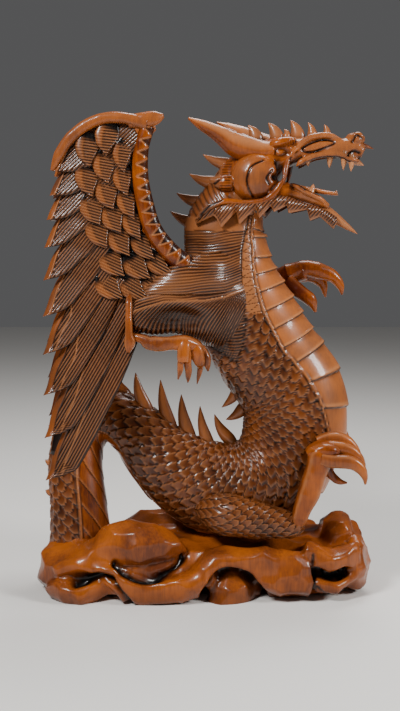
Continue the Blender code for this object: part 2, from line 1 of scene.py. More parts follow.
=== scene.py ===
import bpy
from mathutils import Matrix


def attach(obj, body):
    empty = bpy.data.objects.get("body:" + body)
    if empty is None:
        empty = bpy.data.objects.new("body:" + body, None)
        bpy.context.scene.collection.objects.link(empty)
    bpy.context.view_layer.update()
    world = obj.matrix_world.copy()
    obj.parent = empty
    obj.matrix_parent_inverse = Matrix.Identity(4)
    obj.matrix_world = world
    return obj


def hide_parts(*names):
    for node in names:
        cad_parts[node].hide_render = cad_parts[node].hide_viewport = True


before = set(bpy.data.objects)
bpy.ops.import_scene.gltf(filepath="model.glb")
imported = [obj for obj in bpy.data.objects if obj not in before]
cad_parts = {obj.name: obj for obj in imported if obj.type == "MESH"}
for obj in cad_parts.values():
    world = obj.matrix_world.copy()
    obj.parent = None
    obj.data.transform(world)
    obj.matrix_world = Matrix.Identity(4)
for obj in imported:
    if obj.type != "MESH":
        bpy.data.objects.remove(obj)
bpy.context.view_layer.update()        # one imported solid, which the carved pieces below stand for

import itertools
import math
import time

import bpy
import numpy as np

# Every point below is in millimetres in the frame's own axes: the dragon faces +x, +y is its far side.
mm = 0.001
near, far = -1, 1
sideNames = {near: "near", far: "far"}
fineSteps = 2400         # samples of a curve that only a stretch is taken from
started = time.time()


# Curves and skins

def smoothRows(rows, count):
    # even steps along a Catmull-Rom curve; columns after x, y, z are sizes that go along with it
    rows = np.array(rows, float)
    padded = np.vstack([2 * rows[0] - rows[1], rows, 2 * rows[-1] - rows[-2]])

    def at(place):
        i = np.minimum(place.astype(int), len(rows) - 2)
        t = (place - i)[:, None]
        a, b, c, d = (padded[i + k] for k in range(4))
        bend = (2 * a - 5 * b + 4 * c - d) * t**2 + (3 * (b - c) + d - a) * t**3
        return 0.5 * (2 * b + (c - a) * t + bend)

    fine = np.linspace(0, len(rows) - 1, 24 * len(rows))
    steps = np.linalg.norm(np.diff(at(fine)[:, :3], axis=0), axis=1)
    run = np.concatenate([[0], np.cumsum(steps)])
    place = np.interp(np.linspace(0, run[-1], count), run, fine)
    return at(place), place, np.linspace(0, run[-1], count)


def flatCurve(line, count):
    # the same through x, z points of the side view
    path, place, run = smoothRows([(x, z, 0) for x, z in line], count)
    return path[:, :2], place, run


def onSide(side, rows):
    # rows drawn for the far side, mirrored for the near one
    return [(x, side * y, *rest) for x, y, *rest in rows]


def unit(v):
    return v / np.maximum(np.linalg.norm(v, axis=-1, keepdims=True), 1e-9)


def gridNormals(points):
    # outward normals of a grid of rings that close on themselves
    run = np.gradient(points, axis=0)
    turn = np.roll(points, -1, axis=1) - np.roll(points, 1, axis=1)
    return unit(np.cross(run, turn))


def loft(rows, count, around=60, turns=None, square=1.0, span=None):
    # rings along x, y, z, half width in the side view and half depth; turn 0 is the belly side
    path, place, run = smoothRows(rows, fineSteps if span else count)
    keep = np.arange(count)
    if span:
        ends = np.searchsorted(place, [span[0], min(span[1], place[-1])])
        keep = np.unique(np.linspace(ends[0], min(ends[1], fineSteps - 1), count).astype(int))
    along = unit(np.gradient(path[:, :3], axis=0))[keep]
    path, place, run = path[keep], place[keep], run[keep]
    across = unit(np.array([0.0, 1.0, 0.0]) - along * along[:, 1:2])
    belly = np.cross(along, across)
    turn = np.linspace(0, 2 * math.pi, around, endpoint=False) if turns is None else np.array(turns)
    flatCos = np.sign(np.cos(turn)) * np.abs(np.cos(turn)) ** square
    flatSin = np.sign(np.sin(turn)) * np.abs(np.sin(turn)) ** square
    points = (path[:, None, :3] + flatCos[None, :, None] * path[:, None, 3:4] * belly[:, None, :]
              + flatSin[None, :, None] * path[:, None, 4:5] * across[:, None, :])
    step = np.linalg.norm(np.roll(points, -1, axis=1) - points, axis=2)
    girth = np.concatenate([np.zeros((len(path), 1)), np.cumsum(step, axis=1)[:, :-1]], axis=1)
    back = np.argmin(np.abs(turn - math.pi))
    flat = np.zeros(girth.shape)
    return {
        "points": points, "normal": gridNormals(points), "row": place[:, None] + flat,
        "run": run[:, None] + flat, "turn": turn[None, :] + flat,
        "off": np.minimum(turn, 2 * math.pi - turn)[None, :] + flat,
        "fromBack": np.abs(girth - girth[:, back][:, None]),
    }


def ringSkin(points, cut=0.0, worn=1.0, rubbedAndHighlight=0.0):
    # closes rings into a skin, with a fan over each end
    n, m = points.shape[:2]
    ids = np.arange(n * m).reshape(n, m)
    nextIds = np.roll(ids, -1, axis=1)
    quads = np.stack([ids[:-1], ids[1:], nextIds[1:], nextIds[:-1]], axis=-1).reshape(-1, 4)
    tips = np.array([n * m, n * m + 1])
    first = np.stack([ids[0], nextIds[0], np.full(m, tips[0])], axis=-1)
    last = np.stack([nextIds[-1], ids[-1], np.full(m, tips[1])], axis=-1)
    flat = np.vstack([points.reshape(-1, 3), points[0].mean(0), points[-1].mean(0)])

    def spread(value):
        value = np.broadcast_to(value, (n, m))
        return np.concatenate([value.ravel(), [value[0].mean(), value[-1].mean()]])

    return {"points": flat, "quads": quads, "tris": np.vstack([first, last]),
            "cut": spread(cut), "worn": spread(worn), "rubbedAndHighlight": spread(rubbedAndHighlight)}


def carve(form, height=0.0, cut=0.0, worn=1.0, rubbedAndHighlight=0.0):
    # a loft's skin with its relief raised along the surface's own direction
    shape = form["points"].shape[:2]
    lift = np.broadcast_to(height, shape)[..., None] * form["normal"]
    return ringSkin(form["points"] + lift, cut, worn, rubbedAndHighlight)


def joined(parts):
    # the points and faces of several skins as one
    faces, start = [], 0
    for part in parts:
        faces += (part["quads"] + start).tolist() + (part["tris"] + start).tolist()
        start += len(part["points"])
    return np.vstack([part["points"] for part in parts]), faces


def placed(name, data):
    made = bpy.data.objects.new(name, data)
    bpy.context.scene.collection.objects.link(made)
    return made


def addPiece(name, parts, turnPoints=None):
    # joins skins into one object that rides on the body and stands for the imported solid
    points, faces = joined(parts)
    if turnPoints:
        points = turnPoints(points)
    mesh = bpy.data.meshes.new(name)
    mesh.from_pydata((points * mm).tolist(), [], faces)
    for label in ("cut", "worn", "rubbedAndHighlight"):
        values = np.concatenate([part[label] for part in parts])
        layer = mesh.attributes.new(label, "FLOAT", "POINT")
        layer.data.foreach_set("value", np.clip(values, 0, 1).astype(np.float32))
    mesh.shade_smooth()
    mesh.materials.append(varnishedWood)
    piece = placed(name, mesh)
    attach(piece, "root")
    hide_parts("dragon_carving")
    print(f"{name}: {sum(len(f) - 2 for f in faces)} triangles, {time.time() - started:.0f} s")


# Cutting patterns. Each gives 0 where the wood is left and 1 at the bottom of a cut.

def vGrooves(phase, pitch, sharp=1.4):
    share = phase / pitch
    share = share - np.floor(share)
    return np.abs(2 * share - 1) ** sharp


def zigzagWave(run, pitch):
    wave = run / pitch
    return 2 * np.abs(wave - np.floor(wave) - 0.5)


def lineCut(distance, width):
    return np.exp(-((distance / width) ** 2))


def stepUp(value, low, high):
    t = np.clip((value - low) / (high - low), 0, 1)
    return t * t * (3 - 2 * t)


def gougeMarks(points, size, depth):
    # height of the shallow scallops left by a gouge: squared distance to the nearest of scattered centres
    cells = (points / size).astype(np.float32)
    base = np.floor(cells)
    nearest = np.full(points.shape[:-1], 9.0, np.float32)
    for step in itertools.product((-1, 0, 1), repeat=3):
        corner = base + np.array(step, np.float32)
        seed = corner[..., 0] * 12.9898 + corner[..., 1] * 78.233 + corner[..., 2] * 37.719
        jitter = np.stack([np.sin(seed + k) * 4375.85 for k in (0.0, 1.7, 3.1)], axis=-1)
        jitter = jitter - np.floor(jitter)
        nearest = np.minimum(nearest, ((cells - corner - jitter) ** 2).sum(-1))
    return depth * (nearest - 0.3)  # less about its mean, so the surface stays where it was


# a scale's tongue as shares of its row's length, its roundness, and in mm the dark line round it, partly a
# stained cut and partly painted shadow, and the width of a painted highlight along its free edge
shingle = {"heel": 0.55, "tongue": 1.6, "roundness": 2.2, "point": 0.75, "cut": 0.75, "rim": 0.8}


def shingles(run, side, length, width, lift, lean):
    # scales in staggered rows, each row lapping the next; lean slants them sideways. Each is painted paler
    # toward and along its free edge as a highlight, and dark just past it, partly stain and partly painted
    # shadow
    row = np.floor(run / length)
    bare = np.ones(run.shape, bool)
    height, rim = np.zeros(run.shape), np.zeros(run.shape)
    past = np.full(run.shape, 9.0)
    for back in (2, 1, 0, -1):
        which = row - back
        along = run / length - which
        place = (side + lean * along * length) / width + 0.5 * np.mod(which, 2)
        f = 2 * np.abs(place - np.floor(place) - 0.5)
        reach = shingle["heel"] + shingle["tongue"] * (1 - f ** shingle["roundness"]) ** shingle["point"]
        slope = 2 * shingle["point"] * shingle["roundness"] * f ** (shingle["roundness"] - 1)
        slope = slope * shingle["tongue"] * length / width
        gap = (along - reach) * length / np.hypot(1, slope)
        mine = bare & (gap < 0)
        progress = np.clip((along + 0.5) / (reach + 0.5), 0, 1)
        height = np.where(mine, lift * progress**1.6, height)
        # pale toward and along the free edge: a painted highlight
        rim = np.where(mine, np.maximum(progress**4, lineCut(gap + 0.6, shingle["rim"])), rim)
        # dark just past each free edge: partly stain in the cut, partly painted shadow under the lapping
        # scale
        past = np.where(bare & ~mine, np.minimum(past, np.maximum(gap, 0)), past)
        bare = bare & ~mine
    return height, lineCut(past, shingle["cut"]), rim


def pick(mask, new, old):
    # the four values of a carving, height, stain and shade, worn, and rubbed pale with painted highlights,
    # from new where the mask holds
    return [np.where(mask, a, b) for a, b in zip(new, old)]


def distanceTo(x, z, line):
    # distance in the side view to a smooth line through x, z points
    path = flatCurve(line, 60)[0]
    best = np.full(x.shape, 1e9)
    for a, b in zip(path[:-1], path[1:]):
        ab = b - a
        t = np.clip(((x - a[0]) * ab[0] + (z - a[1]) * ab[1]) / (ab @ ab), 0, 1)
        best = np.minimum(best, np.hypot(x - a[0] - ab[0] * t, z - a[1] - ab[1] * t))
    return best


# The finish

def linear(hexColour):
    # an sRGB hex colour turned to Blender's linear values
    parts = [int(hexColour[i:i + 2], 16) / 255 for i in (1, 3, 5)]
    return [c / 12.92 if c <= 0.04045 else ((c + 0.055) / 1.055) ** 2.4 for c in parts] + [1]


def node(tree, kind, settings=None, values=None, links=None):
    made = tree.nodes.new(kind)
    for key, value in (settings or {}).items():
        setattr(made, key, value)
    for key, value in (values or {}).items():
        made.inputs[key].default_value = value
    for key, source in (links or {}).items():
        tree.links.new(source, made.inputs[key])
    return made


# Suar wood, hand carved, stained brown, rubbed back and brushed with gloss varnish: honey where it is
# smooth and handled, red-brown on carved ground, pale on rubbed crests and as painted highlights, nearly
# black inside the cuts, where stain gathers, and as painted shade in hollows, gaps and the mouth.
# Widths are in mm. Real grain is a few tenths of a mm wide and is drawn coarser, so that it shows.
woodLook = {
    "honey": "#9A4A00", "deepHoney": "#4A1600", "ground": "#260A03", "darkGround": "#100301",
    "pale": "#B4764A", "stainAndShadeColour": "#060201", "grainWidth": 2.0, "grainShort": 0.09, "poolWidth": 34.0,
    "poolsFrom": 0.55, "poolsTo": 0.92, "grainInPools": 0.45, "grainBump": 0.08,
    "ior": 1.45, "specular": 0.25, "roughness": 0.3, "coat": 0.3, "coatRoughness": 0.1,
}


def makeVarnishedWood(look):
    material = bpy.data.materials.new("varnishedSuarWood")
    material.use_nodes = True
    tree = material.node_tree
    tree.nodes.clear()
    where = node(tree, "ShaderNodeTexCoord").outputs["Object"]
    # the darkening attribute holds stain in the cuts and painted shade; the pale one holds rubbed crests
    # and painted highlights
    cut = node(tree, "ShaderNodeAttribute", {"attribute_name": "cut"}).outputs["Fac"]
    worn = node(tree, "ShaderNodeAttribute", {"attribute_name": "worn"}).outputs["Fac"]
    rubbedAndHighlight = node(tree, "ShaderNodeAttribute", {"attribute_name": "rubbedAndHighlight"}).outputs["Fac"]
    stretched = node(tree, "ShaderNodeMapping", {}, {"Scale": (1, 1, look["grainShort"])},
                     {"Vector": where})
    grain = node(tree, "ShaderNodeTexNoise", {},
                 {"Scale": 1 / (look["grainWidth"] * mm), "Detail": 4.0, "Roughness": 0.6},
                 {"Vector": stretched.outputs[0]}).outputs["Fac"]
    pools = node(tree, "ShaderNodeTexNoise", {},
                 {"Scale": 1 / (look["poolWidth"] * mm), "Detail": 3.0}, {"Vector": where}).outputs["Fac"]
    blend = node(tree, "ShaderNodeMath", {"operation": "MULTIPLY_ADD"}, {1: look["grainInPools"]},
                 {0: grain, 2: pools})
    shade = node(tree, "ShaderNodeMapRange", {},
                 {"From Min": look["poolsFrom"], "From Max": look["poolsTo"]},
                 {"Value": blend.outputs[0]}).outputs[0]
    smooth = node(tree, "ShaderNodeMix", {"data_type": "RGBA"},
                  {6: linear(look["honey"]), 7: linear(look["deepHoney"])}, {0: shade})
    carved = node(tree, "ShaderNodeMix", {"data_type": "RGBA"},
                  {6: linear(look["ground"]), 7: linear(look["darkGround"])}, {0: shade})
    body = node(tree, "ShaderNodeMix", {"data_type": "RGBA"}, {},
                {0: worn, 6: carved.outputs[2], 7: smooth.outputs[2]})
    crestsAndHighlights = node(tree, "ShaderNodeMix", {"data_type": "RGBA"}, {7: linear(look["pale"])},
                  {0: rubbedAndHighlight, 6: body.outputs[2]})
    stained = node(tree, "ShaderNodeMix", {"data_type": "RGBA"}, {7: linear(look["stainAndShadeColour"])},
                   {0: cut, 6: crestsAndHighlights.outputs[2]})
    rough = node(tree, "ShaderNodeMapRange", {},
                 {"To Min": look["roughness"] - 0.05, "To Max": look["roughness"] + 0.1}, {"Value": grain})
    bump = node(tree, "ShaderNodeBump", {}, {"Strength": 0.5, "Distance": look["grainBump"] * mm},
                {"Height": grain})
    shader = node(tree, "ShaderNodeBsdfPrincipled", {},
                  {"IOR": look["ior"], "Specular IOR Level": look["specular"], "Coat Weight": look["coat"],
                   "Coat Roughness": look["coatRoughness"]},
                  {"Base Color": stained.outputs[2], "Roughness": rough.outputs[0],
                   "Normal": bump.outputs[0]})
    node(tree, "ShaderNodeOutputMaterial", {}, {}, {"Surface": shader.outputs[0]})
    return material


varnishedWood = makeVarnishedWood(woodLook)


# The mane: cut lines that leave the zigzag strip at the throat, sweep back level over the shoulder
# and peel away downwards below it

mane = {
    "pitch": 2.5, "lowPitch": 4.6, "depth": 1.0, "top": 346, "lowest": 221, "lowSlant": 0.6,
    "borderFrom": 215,
    "shoulderLine": [(-72, 264), (-63, 274), (-37, 281.5), (0, 282), (18, 285), (35, 291), (60, 300)],
    "peelRadius": [(-70, 14), (-20, 12), (0, 25), (36, 52)],
    "edge": [(30.2, 223), (35.7, 243), (37.5, 262), (35.6, 280), (32.8, 299), (33.7, 326), (38.3, 349),
             (40, 356)],
    "quiet": (-34, 294, 24, 10),          # centre x, z and half sizes of a smoother place
    "lastRow": 6, "band": 2, "bandCarving": (0.3, 0.0, 0.5, 0.35),
    "nape": {"above": 357, "before": 26, "centre": (50, 396), "pitch": 5.0, "depth": 0.8},
}


def lineAt(line, value, key=0):
    # reads a list of pairs as a broken line
    return np.interp(value, [p[key] for p in line], [p[1 - key] for p in line])


def maneLines(x, z):
    # groove depth 0 to 1 over the mane's field of lines in the side view
    drift = 1.1 * np.sin(x / 9 + z / 17) + 0.6 * np.sin(z / 5.3 - x / 15) + 0.35 * np.sin(x / 4.1 - z / 9)
    sep = lineAt(mane["shoulderLine"], x)
    above = (z - sep) * 56 / (mane["top"] - 0.08 * (36 - x) - sep) + 0.7 * drift
    below = np.maximum(sep - z, 0.01)
    peeled = x + np.sqrt(2 * lineAt(mane["peelRadius"], x) * below) + drift
    # some locks are cut deeper than others
    uneven = 0.78 + 0.22 * np.sin(above / 3.1 + x / 13)
    level = vGrooves(above, mane["pitch"]) * uneven
    steep = vGrooves(peeled, mane["lowPitch"]) * stepUp(below, 0.5, 4)
    cx, cz, rx, rz = mane["quiet"]
    quiet = np.exp(-(((x - cx) / rx) ** 2 + ((z - cz) / rz) ** 2))
    return np.where(z > sep, level * (1 - 0.75 * quiet), steep), stepUp(below, 0.5, 5)


def combed(pattern, depth):
    # height, stain and shade, worn, and rubbed pale for ground combed with grooves; below the shoulder they
    # are wider, deeper and darker, the extra dark a painted shade under the shoulder
    lines, low = pattern
    cut = lines ** (1.2 - 0.4 * low)
    return -depth * (1 + 0.4 * low) * lines, cut, 0.15 + 0 * lines, 0.5 * (1 - lines) ** (3 + low)


# The trunk from the nape to the tail's foot

trunkRows = [
    (36, -1, 388, 25, 20), (20, 0, 352, 37, 28), (20, 0, 326, 40, 31), (25, 0, 297, 44, 34),
    (39, 0, 264, 48, 36), (60, 0, 228, 49, 37), (84, 0, 190, 50, 38), (86, 0, 152, 49, 37),
    (73, 0, 117, 47, 36), (47, 0, 98, 46, 36), (14, 0, 95, 45, 34), (-17, 0, 107, 41, 32),
    (-44, 2, 127, 34, 28), (-65, 8, 149, 28, 25), (-85, 16, 162, 26, 23), (-106, 20, 161, 25, 22),
    (-122, 18, 143, 25, 22), (-126, 10, 115, 26, 22), (-123, 4, 83, 27, 23), (-121, 0, 48, 29, 24),
    (-121, 0, 16, 30, 25),
]
trunk = {
    "bellyHalf": [48, 50, 53, 60, 70, 74, 68, 52, 34, 26, 24, 26, 32, 44, 56, 68, 76, 82, 84, 84, 84],
    "plate": 19.5, "plateRise": 2.2, "tailPlate": 24, "tailSlant": 1.3,
    "scaleLength": 6.6, "scaleWidth": 14.0, "scaleLift": 2.2,
    "scaleLean": [(0, 0.6), (6.3, 0.6), (8.0, -0.5), (14, -0.5), (20, -0.3)],
    "scaleTone": (0.3, 0.02, 0.36),       # worn, rubbed pale on the face, and pale on the rim as a painted highlight
    "tailFrom": (10.5, 12.5), "plateBow": 5, "stripAbove": 268, "stripRows": 5, "stripPitch": 8.5,
    "stripCut": 0.55,
    # the neck's ring angles, from, to and step, closer set where the zigzag runs
    "turnSteps": [(0, 38, 3.4), (38, 86, 1.15), (86, 180, 3.2)],
    "spans": {"neck": (0, 5.03, 244, 0), "body": (4.97, 11.03, 280, 156), "tail": (10.97, 20, 226, 126)},
}


def trunkRelief(form):
    x, z = form["points"][..., 0], form["points"][..., 2]
    rows = range(len(trunkRows))
    half = np.interp(form["row"], rows, trunk["bellyHalf"])
    radius = np.interp(form["row"], rows, [r[3] for r in trunkRows])
    toBorder = (np.degrees(form["off"]) - half) * math.pi / 180 * radius
    onBelly = toBorder < 0
    onTail = stepUp(form["row"], *trunk["tailFrom"])
    # belly plates, each one lapping the next; on the tail they run aslant and stay flat. Each joint is
    # dark, partly a cut and partly painted shadow under the lapping plate, and a painted highlight runs
    # along each plate's lower edge
    bow = trunk["plateBow"] * (1 - np.cos(form["off"]))
    slant = trunk["tailSlant"] * form["off"] * radius * onTail
    plateLong = trunk["plate"] + (trunk["tailPlate"] - trunk["plate"]) * onTail
    plate = (form["run"] + bow + slant) / plateLong
    share = plate - np.floor(plate)
    edge = share * trunk["plate"]
    left = trunk["plate"] - edge
    plates = (trunk["plateRise"] * (share**1.6 - 0.4) * (1 - 0.75 * onTail),
              np.maximum(lineCut(edge, 0.9), lineCut(left, 0.5)), 1.0,
              0.35 + 0.4 * lineCut(left - 1.6, 1.2) - 0.3 * onTail)
    tips, scaleCutAndShadow, rim = shingles(form["run"], form["fromBack"], trunk["scaleLength"],
                                   trunk["scaleWidth"], trunk["scaleLift"],
                                   lineAt(trunk["scaleLean"], form["row"]))
    worn, face, rimHighlight = trunk["scaleTone"]
    # pale scale rims are a painted highlight; the dark line past each scale's edge is partly painted shadow
    carving = pick(onBelly, plates, (tips - 0.6, scaleCutAndShadow, worn, face + rimHighlight * rim**1.5))
    # mane on the neck, with a smooth band over it under the beard
    overMane = lineAt(mane["edge"], z, key=1) - x
    lowEnd = mane["lowest"] + mane["lowSlant"] * np.clip(30 - x, -10, 60)
    besideMane = (overMane > 0) & (form["row"] < mane["lastRow"])
    onMane = besideMane & (z > lowEnd)
    height, *tone = combed(maneLines(x, z), mane["depth"])
    carving = pick(onMane, (height + 0.3, *tone), carving)
    carving = pick(onMane & (z > mane["top"] - mane["band"]), mane["bandCarving"], carving)
    # curved strokes behind the cheek, above the band
    nape = mane["nape"]
    onNape = onMane & (z > nape["above"]) & (x < nape["before"])
    strokes = vGrooves(np.hypot(x - nape["centre"][0], z - nape["centre"][1]), nape["pitch"], 3.0)
    carving = pick(onNape, (-nape["depth"] * strokes, 0.9 * strokes, carving[2], 0.15), carving)
    # zigzag strip between the mane and the belly, above the scales
    onStrip = (overMane <= 0) & ~onBelly & (z > trunk["stripAbove"]) & (form["row"] < trunk["stripRows"])
    stripWidth = np.maximum(toBorder - overMane, 4)
    wave = zigzagWave(form["run"], trunk["stripPitch"])
    zigzag = lineCut((np.clip(toBorder / stripWidth, 0, 1) - wave) * stripWidth * 0.7, trunk["stripCut"])
    carving = pick(onStrip, (0.3 - 0.8 * zigzag, zigzag, 0.6, 0.5 * (1 - zigzag)), carving)
    # the lines that part them: a cut round the mane and a thin ridge along the belly
    height, cut, worn, rubbedAndHighlight = carving
    border = lineCut(overMane, 0.9) * ((z > mane["borderFrom"]) & (form["row"] < mane["lastRow"]))
    border = np.maximum(border, lineCut(z - lowEnd, 1.2) * besideMane)
    shown = form["row"] > 0.6
    ridge = lineCut(toBorder, 1.0) * shown
    beside = lineCut(np.abs(toBorder) - 2.0, 0.8) * shown
    height = height - 0.9 * border + 1.0 * ridge - 0.5 * beside
    cut = np.maximum(np.maximum(cut * (1 - ridge), border), beside * 0.8)
    return height, cut, np.maximum(worn, ridge), np.maximum(rubbedAndHighlight, 0.7 * ridge)


def addTrunk():
    fineTurns = [turn for span in trunk["turnSteps"] for turn in np.arange(*span)]
    fineTurns = np.radians(fineTurns + [180] + [360 - turn for turn in fineTurns[:0:-1]])
    for name, (first, last, count, around) in trunk["spans"].items():
        form = loft(trunkRows, count, around, None if around else fineTurns, span=(first, last))
        addPiece(name, [carve(form, *trunkRelief(form))])


addTrunk()


# Leaf-shaped points: the spines of the back, the crest and the beard

def leaf(root, tip, width, thick, bend=0.0, rubbedAndHighlight=0.0, count=24, around=18):
    root, tip = np.array(root, float), np.array(tip, float)
    along = tip - root
    side = np.cross(along, (0, 1, 0))
    side = side / max(np.linalg.norm(side), 1e-6)
    rows = []
    for share, wide in ((-0.25, 0.8), (0.0, 1.0), (0.25, 1.0), (0.55, 0.72), (0.8, 0.4), (1.0, 0.05)):
        centre = root + along * share + side * bend * math.sin(math.pi * max(share, 0))
        rows.append([*centre, width / 2 * wide, thick / 2 * max(wide, 0.2)])
    form = loft(rows, count, around)
    # a knife leaves a blunt edge in the middle of each face
    ridge = np.abs(np.sin(form["turn"])) ** 6
    height = 0.12 * thick * ridge * (1 - form["run"] / form["run"].max())
    # darker at the foot, where the point meets the body, as painted shade
    foot = 1 - stepUp(form["run"] / form["run"].max(), 0.16, 0.4)
    return carve(form, height, 0.6 * foot, 0.6 + 0.35 * ridge, rubbedAndHighlight + 0.25 * ridge)


spineGroups = [
    {"width": 13, "y": 0, "points": [((26, 405), (-2, 415)), ((12, 388), (-15, 397)),
                                     ((0, 370), (-27, 379)), ((-6, 350), (-33, 362))]},
    {"width": 12, "y": 0, "points": [((34, 196), (16, 175)), ((38, 176), (20, 163)),
                                     ((24, 143), (9, 168)), ((4, 137), (-5, 176))]},
    {"width": 14, "y": 3, "points": [((-15, 143), (-23, 187)), ((-33, 152), (-43, 201)),
                                     ((-56, 170), (-67, 208))]},
    {"width": 13, "y": 17, "points": [((-78, 184), (-85, 203)), ((-98, 186), (-106, 202)),
                                      ((-118, 172), (-132, 184))]},
    {"width": 12, "y": 8, "points": [((-138, 150), (-152, 156)), ((-144, 120), (-156, 122)),
                                     ((-146, 92), (-156, 92))]},
]


def addSpines():
    parts = []
    for group in spineGroups:
        for (rx, rz), (tx, tz) in group["points"]:
            y = group["y"]
            parts.append(leaf((rx, y, rz), (tx, y, tz), group["width"], thick=7, bend=2, rubbedAndHighlight=0.2))
    addPiece("back_spines", parts)


addSpines()


# Wings

wingEdge = [(2, 296), (-16, 311), (-33, 326), (-47, 345), (-54, 368), (-58, 392), (-57, 416), (-51, 436)]
wing = {
    "root": (-20, 46, 312), "spread": 124, "reach": 130, "farBack": 12,
    "boneWide": [9, 10, 9, 8.5, 8, 7.5, 7, 6.5], "boneDeep": [9, 10, 8, 7.5, 7, 7, 6.5, 6],
    "boneOut": [-10, -3, 2, 2, 2, 1, 1, 0], "zigzag": 10.5, "teethTurns": (66, 160), "teethWide": 4.6,
    "feathers": 10, "featherWide": 24, "featherThick": 5, "lean": 3.2,
    "roots": [(-64, 436), (-96, 386), (-93, 328), (-72, 266)],
    "tips": [(-136, 397), (-144.5, 329), (-147, 233), (-146, 118)],
    "hatch": 2.5, "hatchDepth": 1.0, "hatchFrom": 42, "hatchTo": 61,
    "covertRows": 8, "covertFrom": 0.08, "covertTo": [0.93, 0.95, 0.9, 0.42],
    "covertInsets": [15, 30.5, 46, 61], "covertLong": 30, "covertHalf": 11, "covertThick": 4,
    "covertSlant": [(0, 42), (0.4, 24), (0.95, 4)],
    "underShoulder": [(-61, 0), (-60, 281), (-32, 281), (-30, 290), (20, 290)],
    "spur": [(-68, 440, 6, 6, 0), (-54, 441, 7, 7, 0), (-44, 443, 6, 5, 0), (-37, 445, 2, 2, 0)],
    "rim": [(-52, 438, 6, 6, 1), (-74, 443, 5, 6, 2), (-92, 442, 5, 6, 2), (-108, 435, 5, 6, 2),
            (-121, 424, 5, 6, 1), (-130, 411, 4.5, 5, 1), (-136, 397, 2, 3, 0)],
    "web": [(-64, 430, 8, 2, -5), (-84, 410, 26, 2, -5), (-90, 378, 32, 2, -6), (-92, 340, 35, 2, -6),
            (-92, 300, 33, 2, -6), (-98, 262, 24, 2, -6), (-110, 220, 16, 2, -6), (-126, 172, 10, 2, -4),
            (-138, 140, 4, 2, -3)],
    "rootWeb": [(-106, 334, 3, 1, -6), (-90, 322, 18, 1.5, -6), (-66, 306, 28, 2.2, -6.5),
                (-44, 292, 26, 3.5, -7.5), (-20, 284, 22, 6, -9)],
    "innerLap": 1.6, "seamWidth": 3.2,
}


def wingPoints(side, x, z, out):
    # the wing spreads outwards from its root
    reach = np.hypot(x - wing["root"][0], z - wing["root"][2]) / wing["reach"]
    y = wing["root"][1] + (wing["spread"] / 2 - wing["root"][1]) * np.minimum(reach, 1) + out
    back = wing["farBack"] if side == far else 0
    return np.stack([x - back, side * y, z], axis=-1)


def wingRows(side, rows):
    return [(*wingPoints(side, np.array(x, float), np.array(z, float), out), w, d)
            for x, z, w, d, out in rows]


def curvePoint(line, share):
    path, place, _ = flatCurve(line, 400)
    where = share * (len(line) - 1)
    return np.array([np.interp(where, place, path[:, k]) for k in range(2)])


def blade(side, line, otherLine, half, thick, lean, count, across, relief, base=0.0):
    # a flat carved blade in the side view: between two lines, or round one line with half widths
    path, _, run = flatCurve(line, count)
    share = run / run[-1]
    if otherLine:
        down = flatCurve(otherLine, count)[0] - path
        up, low = np.zeros(count), np.linalg.norm(down, axis=1)
        down = unit(down)
    else:
        ahead = unit(np.gradient(path, axis=0))
        down = np.stack([-ahead[:, 1], ahead[:, 0]], axis=-1)
        up = low = np.interp(share, [p[0] for p in half], [p[1] for p in half])

    def face(t, flip):
        offset = -up[:, None] + (up + low)[:, None] * (t[None, :] + 1) / 2
        flat = path[:, None, :] + down[:, None, :] * offset[..., None]
        rounding = thick / 2 * (1 - np.abs(t[None, :]) ** 6)
        lift = base + lean * t[None, :] + flip * rounding + 0 * offset
        return flat, lift, offset

    t = np.linspace(-1, 1, across)
    flat, lift, offset = face(t, 1)
    spread = np.zeros(offset.shape)
    height, cut, worn, rubbedAndHighlight = relief(run[:, None] + spread, offset, share[:, None] + spread,
                                       t[None, :] + spread, flat)
    front = wingPoints(side, flat[..., 0], flat[..., 1], lift + height)
    flat, lift, _ = face(np.linspace(0.97, -0.97, 4), -1)
    behind = wingPoints(side, flat[..., 0], flat[..., 1], lift)
    plain = np.zeros(behind.shape[:2])
    rings = [np.concatenate(pair, axis=1) for pair in
             ((front, behind), (cut, plain + 0.3), (worn, plain + 0.4), (rubbedAndHighlight, plain))]
    if side == near:
        rings = [ring[:, ::-1] for ring in rings]
    return ringSkin(*rings)


